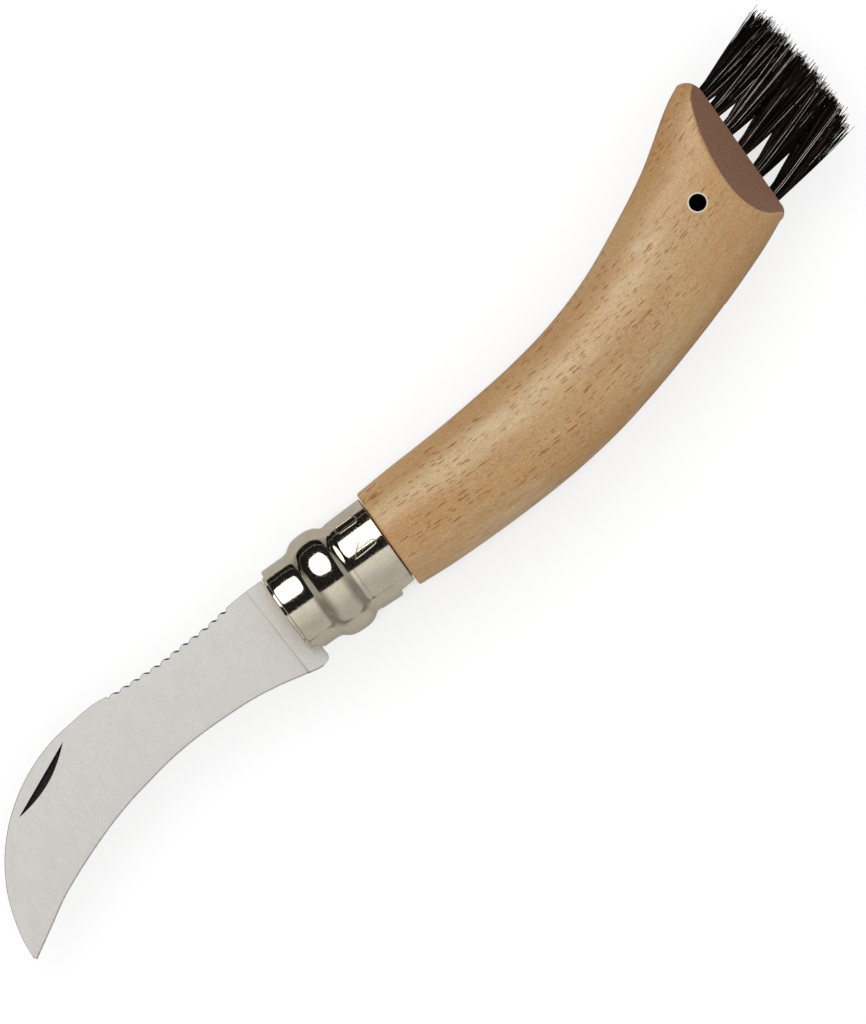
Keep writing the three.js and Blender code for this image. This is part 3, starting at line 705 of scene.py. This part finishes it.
def blade_stations():
    ripple_end = RIPPLE_START + RIPPLE_COUNT * RIPPLE_PITCH
    flat = np.linspace(0, FLAT_LENGTH, 6)
    start = np.linspace(FLAT_LENGTH + GRIND_LINE, RIPPLE_START, 12)
    ripples = np.linspace(RIPPLE_START, ripple_end, RIPPLE_COUNT * 14 + 1)
    plain = np.linspace(ripple_end, back_curve.length, 150)
    return np.unique(np.concatenate([flat, start, ripples, plain]))


def blade_ring(distance):
    share = distance / back_curve.length
    back = back_curve.along(distance)
    out = -back_curve.normal(distance)
    count = (distance - RIPPLE_START) / RIPPLE_PITCH
    chamfer = BACK_CHAMFER
    if 0 <= count <= RIPPLE_COUNT:
        notch = 1 - math.sin(math.pi * (count % 1))
        back = back - out * RIPPLE_DEPTH * notch
        cut = min(count % 1 / RIPPLE_CUT_SHARE, 1)
        chamfer += (RIPPLE_CHAMFER - BACK_CHAMFER) * math.sin(math.pi * cut)
    edge = edge_curve.along(share * edge_curve.length)
    width = np.linalg.norm(edge - back)
    honed = 1 - HONED_WIDTH / max(width, 3 * HONED_WIDTH)
    thin = HALF_BLADE * (1 - THIN_TIP_SHARE * share**THIN_TIP_POWER)
    grind = smooth_between(distance, FLAT_LENGTH, FLAT_LENGTH + GRIND_RUN)
    first = chamfer / max(width, 3 * chamfer)
    downs = [0, first, *(first + (honed - first) * np.linspace(0, 1, 15)[1:]), 1]
    side = []
    for i, down in enumerate(downs):
        wedge = thin + (EDGE_THICKNESS - thin) * min(down / honed, 1) ** BELLY_POWER
        half = HALF_BLADE + (wedge - HALF_BLADE) * grind
        if i == 0:
            half = max(half - chamfer * CHAMFER_SLOPE_SHARE, EDGE_THICKNESS)
        if down == 1:
            half = HALF_BLADE + (KEEN_HALF - HALF_BLADE) * grind
        x, y = back + (edge - back) * down
        side.append((x, y, half))
    return side + [(x, y, -z) for x, y, z in reversed(side)]


def tang_outline():
    heel = edge_curve.along(0.0)
    kick_height = -TANG_FOOT - heel[1]
    points = [(heel[0] - KICK_INSET, heel[1] + kick_height / 2), tuple(heel)]
    for across, rise in reversed(KICK_RISE_SHARES):
        points.append((heel[0] + KICK_INSET * across, heel[1] + kick_height * rise))
    kick = Curve(points[1:])
    points = points[:1] + [tuple(p) for p in kick.step(np.linspace(0, 1, 16))]
    points.append((heel[0] + KICK_INSET, -TANG_FOOT))
    top_angle = math.asin((TANG_TOP - PIVOT[1]) / TANG_RADIUS)
    foot_angle = -math.asin((TANG_FOOT + PIVOT[1]) / TANG_RADIUS)
    for angle in np.linspace(foot_angle, top_angle, 40):
        points.append((PIVOT[0] + TANG_RADIUS * math.cos(angle), PIVOT[1] + TANG_RADIUS * math.sin(angle)))
    rear = FERRULE_FRONT + SHOULDER_LENGTH
    return points + [(rear, TANG_TOP), (rear, SHOULDER[1]), (BACK_START - SHOULDER_LENGTH, SHOULDER[1])]


def chamfered_plate(name, outline, half, chamfer):
    """A plate whose outline is drawn in by a chamfer at both faces."""
    p = np.array(outline)
    inner = p + chamfer * left_normals(p)
    rings = []
    for ring, z in ((inner, -half), (p, chamfer - half), (p, half - chamfer), (inner, half)):
        rings.append(np.column_stack([ring, np.full(len(p), z)]))
    return loft(name, rings)


def nick_cutter():
    start = back_curve.along(NICK_START)
    end = back_curve.along(NICK_START + NICK_LENGTH)
    way = (end - start) / np.linalg.norm(end - start)
    inward = np.array([-way[1], way[0]])
    shares = np.linspace(0, 1, 60)
    outline = [(share, NICK_WIDTH * max(math.sin(math.pi * share), 0) ** NICK_POWER) for share in shares]
    outline += [(share, 0.0) for share in shares[-2:0:-1]]
    base = start + inward * NICK_INSET
    rings = []
    for lift in (0, OVERRUN):
        ring = []
        for share, out in outline:
            x, y = base + way * NICK_LENGTH * share + inward * out
            floor_height = NICK_FLOOR + NICK_RISE * out / NICK_WIDTH
            ring.append((x, y, HALF_BLADE + OVERRUN if lift else floor_height))
        rings.append(ring)
    return loft("nick", rings)


def blade(satin, dark, ripple_shade, back, honed):
    stations = blade_stations()
    rings = [blade_ring(distance) for distance in stations]
    columns = len(rings[0])
    half = columns // 2

    def paint(face):
        """1 on the deeper chamfers of the ripples, 2 on the rest of the back's chamfer, 3 on the honed
        strip and on the line where the flat ends."""
        row, column = divmod(face, columns)
        if row + 1 >= len(stations):
            return 0
        if stations[row] == FLAT_LENGTH:
            return 3
        count = (stations[row] - RIPPLE_START) / RIPPLE_PITCH
        chamfered = column in (0, columns - 2)
        if chamfered and 0 <= count < RIPPLE_COUNT and count % 1 < RIPPLE_CUT_SHARE:
            return 1
        if chamfered:
            return 2
        return 3 if half - 2 <= column <= half else 0

    # Materials 1 to 3 are painted darker than the satin: painted shade and dark reflection on the chamfers,
    # the honed strip and the flat's end
    leaf = loft("blade_steel", rings, 25, paint)
    for material in (satin, ripple_shade, back, honed):
        leaf.data.materials.append(material)
    tang = chamfered_plate("tang", tang_outline(), HALF_BLADE, TANG_CHAMFER)
    tang.data.materials.append(satin)
    cut(leaf, tang, 25, "UNION")
    cut(leaf, drill("hole", PIVOT, PIN_HOLE_RADIUS, OVERRUN, 64), 25)
    nick = nick_cutter()
    # The nick's faces get the near-black steel, a painted shade in the recess
    nick.data.materials.append(dark)
    cut(leaf, nick, 25)
    leaf.name = "curved_blade"
    settle(leaf, "blade_steel", "blade_body", "blade")


# Collar
def ferrule_radius(x):
    share = (x - FERRULE_FRONT) / (FERRULE_REAR - FERRULE_FRONT)
    return FERRULE_FRONT_RADIUS + (FERRULE_REAR_RADIUS - FERRULE_FRONT_RADIUS) * share


def split_sleeve(name, stations, outer, inner, near_reach, far_angle, turns=300):
    """A split tube. At each station it has an outer and an inner radius; near_reach is half its slot,
    and far_angle is how far the far side is cut back from the bottom."""
    def ring(x, radius):
        reach = min(near_reach(x), radius * SLOT_LIMIT)
        first = math.asin(reach / radius)
        last = 2 * math.pi - max(first, far_angle(x))
        angles = np.linspace(first, last, turns)
        return np.column_stack([np.full(turns, x), -radius * np.cos(angles), radius * np.sin(angles)])

    outside = [ring(x, radius) for x, radius in zip(stations, outer)]
    inside = [ring(x, radius) for x, radius in zip(stations, inner)]
    points = np.concatenate(outside + inside[::-1])
    rows = 2 * len(stations)
    faces = sheet_faces(rows, turns)
    for c in range(turns - 1):
        first = (rows - 1) * turns + c
        faces.append((first, first + 1, c + 1, c))
    for column in (0, turns - 1):
        for r in range(len(stations) - 1):
            a = r * turns + column
            b = (r + 1) * turns + column
            c = (rows - 2 - r) * turns + column
            d = (rows - 1 - r) * turns + column
            faces.append((a, b, c, d))
    return make(name, points, faces, 30)


def with_rim(stations, radii, edge):
    """Rounds the outer edge of both ends of a sleeve in quarter circles."""
    x = np.array(stations)
    r = np.array(radii, float)
    for near_end in (x - x[0], x[-1] - x):
        close = near_end < edge
        r[close] -= edge - np.sqrt(np.maximum(edge**2 - (edge - near_end[close]) ** 2, 0))
    return r


def end_stations(low, high, edge, between):
    steps = edge * (1 - np.cos(np.linspace(0, math.pi / 2, 6)))
    return np.unique(np.concatenate([low + steps, between, high - steps]))


ring_curve = Curve(RING_PROFILE)


def ring_radius(x):
    return np.interp(x, ring_curve.points[:, 0], ring_curve.points[:, 1])


def ring_piece(steel):
    between = np.linspace(RING_FRONT + RING_EDGE, RING_REAR - RING_EDGE, 190)
    stations = end_stations(RING_FRONT, RING_REAR, RING_EDGE, between)
    outer = with_rim(stations, ring_radius(stations), RING_EDGE)
    groove_x = [share * (RING_REAR - RING_FRONT) for share in BEAD_GROOVE_SHARES]
    depth = BEAD_GROOVE_RADIUS - ferrule_radius(0) - RING_GAP
    groove = np.interp(stations, groove_x, [0, depth, depth, 0])
    inner = ferrule_radius(stations) + RING_GAP + groove
    inner = np.minimum(inner, outer - RING_LEAST_WALL)
    notch_front = KICK_FACE + NOTCH_GAP
    notch_rear = turn_about_pivot(SHOULDER, FOLD)[0] - NOTCH_GAP
    slot_angle = math.atan(RING_SLOT / 2 / RING_PROFILE[0][1])

    def near_reach(x):
        front = np.interp(x - RING_FRONT, *zip(*FRONT_FLARE))
        rear = np.interp(RING_REAR - x, *zip(*REAR_FLARE))
        return max(RING_SLOT / 2, front, rear)

    def far_angle(x):
        past = max(notch_front - x, x - notch_rear) / NOTCH_CORNER + 1
        return (TURN + slot_angle) * min(max(past, 0), 1)

    made = split_sleeve("locking_ring_steel", stations, outer, inner, near_reach, far_angle)
    dress(made, steel, "collar_steel", "ring_body", "locking_ring")


def ring_mark(name, path, closed, steel):
    """A low raised stroke on the ring, along places seen from above."""
    x, y = np.array(path).T
    radius = ring_radius(x)
    flat = np.column_stack([x, radius * np.arcsin(y / radius)])
    side = left_normals(flat, closed)
    rings = []
    for across, up in MARK_SECTION:
        place = flat + side * across * MARK_WIDTH / 2
        height = radius + up * MARK_HEIGHT
        angle = place[:, 1] / radius
        rings.append(np.column_stack([place[:, 0], height * np.sin(angle), height * np.cos(angle)]))
    sections = np.stack(rings, 1).reshape(-1, 3)
    columns = len(MARK_SECTION)
    faces = sheet_faces(len(path), columns, closed=True)
    last = (len(path) - 1) * columns
    if closed:
        faces += [(last + c, last + (c + 1) % columns, (c + 1) % columns, c) for c in range(columns)]
    else:
        faces += [tuple(range(columns)), tuple(range(last, last + columns))]
    dress(make(name, sections, faces, 60), steel, "collar_steel", "ring_body")


def loop(middle, length, width, count=60):
    """A long loop with round ends, seen from above."""
    points = []
    straight = length / 2 - width / 2
    for angle in np.linspace(0, 2 * math.pi, count, endpoint=False):
        x = width / 2 * math.cos(angle) + (straight if math.cos(angle) > 0 else -straight)
        points.append((middle[0] + x, middle[1] + width / 2 * math.sin(angle)))
    return points


def ring_marks(steel):
    """Two plain marks for the way that the ring turns: a loop and an arrow."""
    ring_mark("ring_mark_loop", loop((0.00825, 0.0071), 0.0046, 0.0013), True, steel)
    shaft = [(0.0062, 0.0009), (0.0073, 0.0021), (0.0090, 0.00215), (0.0107, 0.0022), (0.0112, 0.0017),
             (0.0108, 0.0012), (0.0090, 0.0010), (0.0073, 0.0009)]
    smooth = Curve([*shaft, shaft[0]])
    ring_mark("ring_mark_shaft", smooth.along(np.linspace(0, smooth.length, 70)[:-1]), True, steel)
    barb = Curve([(0.0060, 0.0009), (0.0070, 0.0020), (0.0084, 0.0031)])
    ring_mark("ring_mark_barb", barb.along(np.linspace(0, barb.length, 20)), False, steel)


def ferrule_piece(steel):
    between = np.linspace(FERRULE_FRONT + FERRULE_LIP, FERRULE_REAR - FERRULE_LIP, 40)
    stations = end_stations(FERRULE_FRONT, FERRULE_REAR, FERRULE_LIP, between)
    outer = with_rim(stations, ferrule_radius(stations), FERRULE_LIP)
    inner = ferrule_radius(stations) - FERRULE_WALL
    made = split_sleeve("ferrule_steel", stations, outer, inner, lambda x: HALF_SLOT, lambda x: 0, 200)
    cut(made, drill("hole", PIVOT, PIN_HOLE_RADIUS, 2 * FERRULE_REAR_RADIUS), 30)
    dress(made, steel, "collar_steel", "handle_body", "fixed_ferrule")


# Handle
def handle_curve(start, end, shares, last):
    rise = end - start
    pairs = zip(RUN_SHARES, shares)
    return Curve([*((WOOD_FRONT + run * HANDLE_LENGTH, start + share * rise) for run, share in pairs), last])


top_curve = handle_curve(FRONT_TOP, BUTT_TOP, TOP_SHARES, (BUTT - BUTT_TOP_RADIUS, BUTT_TOP))
foot_curve = handle_curve(-FRONT_FOOT, BUTT_FOOT, FOOT_SHARES, (BUTT - BUTT_FOOT_RADIUS, BUTT_FOOT))


def half_width(share):
    if share < MIDDLE_SHARE:
        rise = smooth_between(share, 0, MIDDLE_SHARE)
        return FRONT_HALF_WIDTH + (MIDDLE_HALF_WIDTH - FRONT_HALF_WIDTH) * rise
    fall = smooth_between(share, MIDDLE_SHARE, 1)
    return MIDDLE_HALF_WIDTH + (BUTT_HALF_WIDTH - MIDDLE_HALF_WIDTH) * fall


def handle_ring(top, foot, share, count=256):
    cos, sin = circle(count)
    widest = FRONT_WIDEST_SHARE + (BUTT_WIDEST_SHARE - FRONT_WIDEST_SHARE) * share
    middle = foot + (top - foot) * widest
    ends = np.where(sin[:, None] > 0, top, foot)
    place = middle + (ends - middle) * np.abs(sin)[:, None]
    z = half_width(share) * cos
    limit = RIDGE_HALF_WIDTH + np.maximum(BUTT - place[:, 0], 0)
    near = place[:, 0] > BUTT - BEVEL_REACH
    z = np.where(near, np.sign(z) * np.maximum(smallest(np.abs(z), limit, BEVEL_ROUND), 0), z)
    return np.column_stack([place, z])


def handle_rings():
    full = handle_ring(top_curve.step(0.0), foot_curve.step(0.0), 0)
    middle = full.mean(0)
    rings = []
    for angle in np.linspace(0, math.pi / 2, 8):
        inward = 1 - FRONT_ROUND * (1 - math.sin(angle)) / FRONT_HALF_WIDTH
        ring = middle + (full - middle) * inward
        ring[:, 0] += FRONT_ROUND * (1 - math.cos(angle))
        rings.append(ring)
    first = FRONT_ROUND * FIRST_SECTION / (RUN_SHARES[1] * HANDLE_LENGTH * len(RUN_SHARES))
    shares = np.concatenate([np.linspace(first, CLOSE_SHARE, 110), np.linspace(CLOSE_SHARE, 1, 70)[1:]])
    for share in shares:
        rings.append(handle_ring(top_curve.step(share), foot_curve.step(share), share))
    for angle in np.linspace(0, math.pi / 2, 14)[1:]:
        out = 1 - math.sin(angle)
        down = 1 - math.cos(angle)
        top = np.array([BUTT - BUTT_TOP_RADIUS * out, BUTT_TOP - BUTT_TOP_RADIUS * down])
        foot = np.array([BUTT - BUTT_FOOT_RADIUS * out, BUTT_FOOT + BUTT_FOOT_RADIUS * down])
        rings.append(handle_ring(top, foot, 1))
    last = rings[-1].copy()
    rings[-1][:, 0] = BUTT - RIDGE_ROUND / 2
    centre = last.mean(0)
    height = last[:, 1].max() - centre[1]
    last[:, 1] = centre[1] + (last[:, 1] - centre[1]) * (1 - RIDGE_ROUND / height)
    last[:, 2] *= 1 - RIDGE_ROUND / RIDGE_HALF_WIDTH
    rings.append(last)
    return rings


def slot_outline():
    heel = turn_about_pivot(edge_curve.along(0.0), FOLD)
    roof = heel[1] + FLOOR_GAP
    deep = -FRONT_FOOT - OVERRUN
    points = [(FERRULE_FRONT - OVERRUN, deep), (FERRULE_FRONT - OVERRUN, roof), (heel[0] + FLOOR_GAP, roof)]
    for share in np.linspace(ROOF_START_SHARE, 1, 50):
        x, y = turn_about_pivot(edge_curve.along(share * edge_curve.length), FOLD)
        points.append((x, y + FLOOR_GAP))
    tip = turn_about_pivot(edge_curve.along(edge_curve.length), FOLD) - PIVOT
    radius = np.linalg.norm(tip) + FLOOR_GAP
    for angle in np.linspace(math.atan2(tip[1], tip[0]), math.asin((deep - PIVOT[1]) / radius), 30):
        points.append((PIVOT[0] + radius * math.cos(angle), PIVOT[1] + radius * math.sin(angle)))
    return points, radius


def slot_rim(radius):
    """A shallow V along the foot that takes the sharp edges off the slot."""
    rings = []
    for share in np.linspace(0, RIM_REACH_SHARE, 160):
        x, y = foot_curve.step(share)
        if x > PIVOT[0] + radius + SLOT_RIM:
            break
        rings.append([
            (x, y + SLOT_RIM, HALF_SLOT), (x, y - OVERRUN, HALF_SLOT + SLOT_RIM + OVERRUN),
            (x, y - OVERRUN, -HALF_SLOT - SLOT_RIM - OVERRUN), (x, y + SLOT_RIM, -HALF_SLOT),
        ])
    front = [(p[0] - OVERRUN, p[1], p[2]) for p in rings[0]]
    return loft("rim", [front, *rings])


def handle_piece(material, bored_shade):
    made = loft("wooden_handle", handle_rings())
    made.data.materials.append(material)
    rear = FERRULE_REAR_RADIUS - FERRULE_WALL - NECK_GAP
    front = FERRULE_FRONT_RADIUS - FERRULE_WALL - NECK_GAP
    length = WOOD_FRONT + FLOOR_GAP - FERRULE_FRONT - NECK_GAP
    taper = [(0, front), (length - 2 * FLOOR_GAP, rear), (length, rear)]
    neck = bar("neck", (FERRULE_FRONT + NECK_GAP, 0, 0), (1, 0, 0), taper, 160)
    cut(made, neck, operation="UNION")
    outline, radius = slot_outline()
    cut(made, loft("slot", [[(x, y, z) for x, y in outline] for z in (-HALF_SLOT, HALF_SLOT)]))
    cut(made, slot_rim(radius))
    reach = MIDDLE_HALF_WIDTH + OVERRUN
    lanyard = drill("lanyard", LANYARD, LANYARD_RADIUS, reach, 72)
    # Its walls are near black, a painted shade inside the hole
    lanyard.data.materials.append(bored_shade)
    cut(made, lanyard)
    cut(made, drill("pin", PIVOT, PIN_HOLE_RADIUS, reach))
    bore = [(0, BORE_RADIUS), (BORE_DEPTH + OVERRUN, BORE_RADIUS)]
    for y in tuft_heights():
        cut(made, bar("bore", (BUTT - BORE_DEPTH, y, 0), (1, 0, 0), bore, 48))
    made.name = "curved_handle"
    settle(made, "handle_wood", "handle_body", "handle")


# Brush
def tuft_heights():
    low, high = TUFT_ROW
    return [low + share * (high - low) for share in TUFT_PLACE_SHARES]


def hair_path(draw, tuft, root, lock):
    """Points of one hair, from its root in the bore to its tip."""
    y, lean = tuft
    along, across = root
    aside, up, shorter = lock
    wander = (aside + draw.gauss(0, HAIR_WANDER[0]), up + draw.gauss(0, HAIR_WANDER[1]))
    tip = y + along * TUFT_SPREAD_ALONG / TUFT_RADIUS + math.tan(lean) * TIP_REACHES[2]
    reach = float(np.interp(tip, TIP_HEIGHTS, TIP_REACHES)) + draw.gauss(TIP_MIDDLE, TIP_SCATTER) - shorter
    if draw.random() < SHORT_SHARE:
        reach *= draw.uniform(*SHORT_REACH)
    grow_along = TUFT_SPREAD_ALONG / TUFT_RADIUS - 1
    grow_across = TUFT_SPREAD_ACROSS / TUFT_RADIUS - 1
    phase = draw.uniform(0, 2 * math.pi)
    wave = draw.gauss(0, HAIR_WAVE)
    points = []
    for step in range(HAIR_STEPS):
        x = -HAIR_ROOT + step / (HAIR_STEPS - 1) * (reach + HAIR_ROOT)
        out = max(x, 0) / TIP_REACHES[2]
        opened = 1 - (1 - min(out, 1)) ** OPENING_POWER
        bend = wave * math.sin(phase + HAIR_WAVE_TURN * out) * out
        astray = out**WANDER_POWER
        py = y + along * (1 + grow_along * opened) + math.tan(lean) * max(x, 0) + wander[0] * astray + bend
        pz = across * (1 + grow_across * opened) + wander[1] * astray - bend
        points.append((BUTT + x, py, pz))
    return points


def hair_mesh(hairs):
    """Tapered tubes along pairs of a path and a radius, as points and faces."""
    cos, sin = circle(HAIR_SIDES)
    points = []
    faces = []
    for path, radius in hairs:
        start = len(points)
        path = np.array(path)
        way = path[-1] - path[0]
        side = np.cross(way, (0, 0, 1))
        side /= np.linalg.norm(side)
        other = np.cross(way, side) / np.linalg.norm(way)
        for step, centre in enumerate(path):
            share = step / (len(path) - 1)
            thick = radius * (1 - HAIR_TAPER * share)
            points.extend(centre + thick * (np.outer(cos, side) + np.outer(sin, other)))
        faces.extend(sheet_faces(len(path), HAIR_SIDES, closed=True, start=start))
        faces.append(tuple(range(start, start + HAIR_SIDES))[::-1])
        faces.append(tuple(range(len(points) - HAIR_SIDES, len(points))))
    return points, faces


def hair_piece(name, hairs, material, node):
    points, faces = hair_mesh(hairs)
    made = mesh(name, np.array(points) + ORIGIN, faces)
    made.data.shade_smooth()
    dress(made, material, "bristle", "handle_body", node)


def brush():
    draw = random.Random(7)
    kinds = {
        "black": hair("black_hair", (0.0005, 0.0005, 0.0005), (0.003, 0.0025, 0.0025), 0.3, 0.06),
        "brown": hair("brown_hair", (0.014, 0.006, 0.0045), (0.07, 0.03, 0.021), 0.35, 0.1),
        "pale": hair("pale_hair", (0.45, 0.37, 0.31), (0.9, 0.84, 0.78), 0.4, 0.15),
    }
    pairs = ("lower", "middle", "upper")
    heights = tuft_heights()
    for pair, name in enumerate(pairs):
        hairs = {kind: [] for kind in kinds}
        for i in (2 * pair, 2 * pair + 1):
            lean = TUFT_LEANS[0] + (TUFT_LEANS[1] - TUFT_LEANS[0]) * TUFT_PLACE_SHARES[i]
            tuft = (heights[i], lean)
            locks = []
            for _ in range(2 * LOCKS_AROUND):
                aside = draw.gauss(0, LOCK_WANDER)
                locks.append((aside, draw.gauss(0, LOCK_WANDER), abs(draw.gauss(0, LOCK_SHORTER))))
            for _ in range(HAIRS_PER_TUFT):
                radius = TUFT_RADIUS * math.sqrt(draw.random())
                angle = draw.uniform(0, 2 * math.pi)
                root = (radius * math.cos(angle), radius * math.sin(angle))
                lot = draw.random()
                kind = "pale" if lot < PALE_SHARE else "brown" if lot < PALE_SHARE + BROWN_SHARE else "black"
                around = int(angle / (2 * math.pi) * LOCKS_AROUND) % LOCKS_AROUND
                lock = locks[around + LOCKS_AROUND * (radius > LOCK_CORE * TUFT_RADIUS)]
                path = hair_path(draw, tuft, root, lock)
                thick = PALE_THICKNESS if kind == "pale" else 1
                hairs[kind].append((path, HAIR_RADIUS * thick * draw.uniform(*HAIR_UNEVEN)))
        for kind, material in kinds.items():
            hair_piece(f"tufts_{name}_{kind}", hairs[kind], material, f"bristles_{name}")


# Light, floor and camera
def emitter(name, power):
    """One part of the key light, which looks at the middle of the floor."""
    light = bpy.data.lights.new(name, "AREA")
    light.shape = "ELLIPSE"
    light.size = KEY_WIDTH
    light.size_y = KEY_HEIGHT
    light.energy = power
    made = add(name, light)
    angle = math.radians(KEY_ANGLE)
    made.location = (KEY_X, KEY_DISTANCE * math.sin(angle), KEY_DISTANCE * math.cos(angle))
    made.rotation_euler = (-made.location).to_track_quat("-Z", "Y").to_euler()
    return made


def level_sheet(name, low, high, height):
    """A level rectangle from one corner to the other."""
    left, front = low
    right, back = high
    corners = [(left, front), (right, front), (right, back), (left, back)]
    return mesh(name, [(x, y, height) for x, y in corners], [(0, 1, 2, 3)])


def floor():
    made = level_sheet("floor", (-FLOOR_HALF, -FLOOR_HALF), (FLOOR_HALF, FLOOR_HALF), 0)
    shader = Shader("pale_floor")
    shader.matte()
    shader.plain("Emission Color", (1, 1, 1, 1))
    path = shader.node("ShaderNodeLightPath").outputs
    seen = shader.math("MAXIMUM", path["Is Camera Ray"], path["Is Glossy Ray"])
    seen = shader.math("MAXIMUM", seen, path["Is Transmission Ray"])
    # Painted shade: where ambient occlusion finds the knife close above, and in a disc under the lanyard
    # hole, the floor's colour is made dark and its glow is taken away
    cover = shader.node("ShaderNodeAmbientOcclusion", {"Distance": COVER_REACH}, samples=6)
    outside = shader.range(from_lanyard(shader, shader.place), *HOLE_SHADE)
    open_sky = shader.times(shader.range(cover.outputs["AO"], *COVER_RANGE), outside)
    shader.link(shader.mix(open_sky, (FLOOR_PAINTED_SHADE,) * 3, (FLOOR_PALE,) * 3), "Base Color")
    glow = shader.times(open_sky, FLOOR_GLOW)
    shader.link(shader.times(seen, glow), "Emission Strength")
    made.data.materials.append(shader.material)


def world():
    """An even pale room. In reflections it is a little darker and has a dark wall behind the lamp."""
    shader = Shader("room")
    made = bpy.data.worlds.new("studio")
    bpy.context.scene.world = made
    made.use_nodes = True
    shader.tree = made.node_tree
    path = shader.node("ShaderNodeLightPath")
    way = shader.axes(shader.node("ShaderNodeTexCoord").outputs["Generated"])
    sideways = shader.math("ABSOLUTE", way["X"])
    towards = shader.math("ARCTAN2", way["Y"], way["Z"])
    past = shader.range(towards, *ROOM_WALL_START)
    dark = shader.times(shader.range(sideways, *ROOM_WALL), past)
    ends = shader.range(sideways, *ROOM_ENDS_REACH, ROOM_REFLECTED, ROOM_ENDS)
    glow = shader.range(towards, *ROOM_GLOW_REACH, 1.0, ROOM_GLOW)
    lit = shader.times(ends, glow)
    reflected = shader.node("ShaderNodeMix", {0: dark, 2: lit, 3: ROOM_DARK}, data_type="FLOAT").outputs[0]
    level = shader.mix(path.outputs["Is Glossy Ray"], (ROOM_LEVEL,) * 3, reflected)
    back = made.node_tree.nodes["Background"]
    back.inputs["Color"].default_value = (1, 1, 1, 1)
    shader.tree.links.new(level, back.inputs["Strength"])


def card(name, low, high, height, level):
    """A card on the floor that only reflections see."""
    made = level_sheet(name, low, high, height)
    shader = Shader(name)
    shader.matte()
    along = shader.axes(shader.place)["X"]
    from_collar = shader.math("ABSOLUTE", shader.math("SUBTRACT", along, ORIGIN[0]))
    faded = [part * ROOM_ENDS / ROOM_REFLECTED for part in level]
    shader.link(shader.mix(shader.range(from_collar, *CARD_FADE), level, faded), "Base Color")
    made.data.materials.append(shader.material)
    made.visible_camera = False
    made.visible_diffuse = False
    made.visible_transmission = False
    made.visible_shadow = False
    made.visible_volume_scatter = False


def studio():
    emitter("key", KEY_POWER).visible_diffuse = False
    emitter("soft_key", SOFT_POWER).visible_glossy = False
    card("grey_card", (-1.5, -1.5), (1.5, 1.5), 0.0002, (0.74, 0.73, 0.705))
    card("dark_card", (-0.9, 0.055), (0.9, 1.5), 0.0004, (0.02, 0.017, 0.015))
    floor()
    world()


def camera():
    lens = bpy.data.cameras.new("camera")
    lens.lens = LENS
    lens.sensor_width = SENSOR
    made = add("camera", lens)
    made.location = (*(ORIGIN[:2] + VIEW_MIDDLE), ORIGIN[2] + VIEW_HEIGHT * LENS / SENSOR)
    made.rotation_euler = (0, 0, math.radians(VIEW_TURN))
    bpy.context.scene.camera = made


steel = polished_steel()
handle_piece(wood(), plain_wood("bored_wood", (0.012, 0.008, 0.006), (0.03, 0.02, 0.014), 0.7))
ferrule_piece(steel)
ring_piece(steel)
ring_marks(steel)
blade(satin_steel(), dark_steel(), cut_steel("cut_steel", (0.035, 0.03, 0.027), (0.12, 0.11, 0.1)),
      cut_steel("back_steel", (0.13, 0.125, 0.12), (0.32, 0.31, 0.29)),
      cut_steel("honed_steel", (0.35, 0.34, 0.32), (0.62, 0.60, 0.57)))
brush()
plain = pin_steel()
for name, node in frame["nodes"].items():
    if name == "pivot_pin" or name.startswith("tuft_staple"):
        node.data.materials.clear()
        node.data.materials.append(plain)
studio()
camera()
bpy.context.scene.view_settings.view_transform = "Standard"
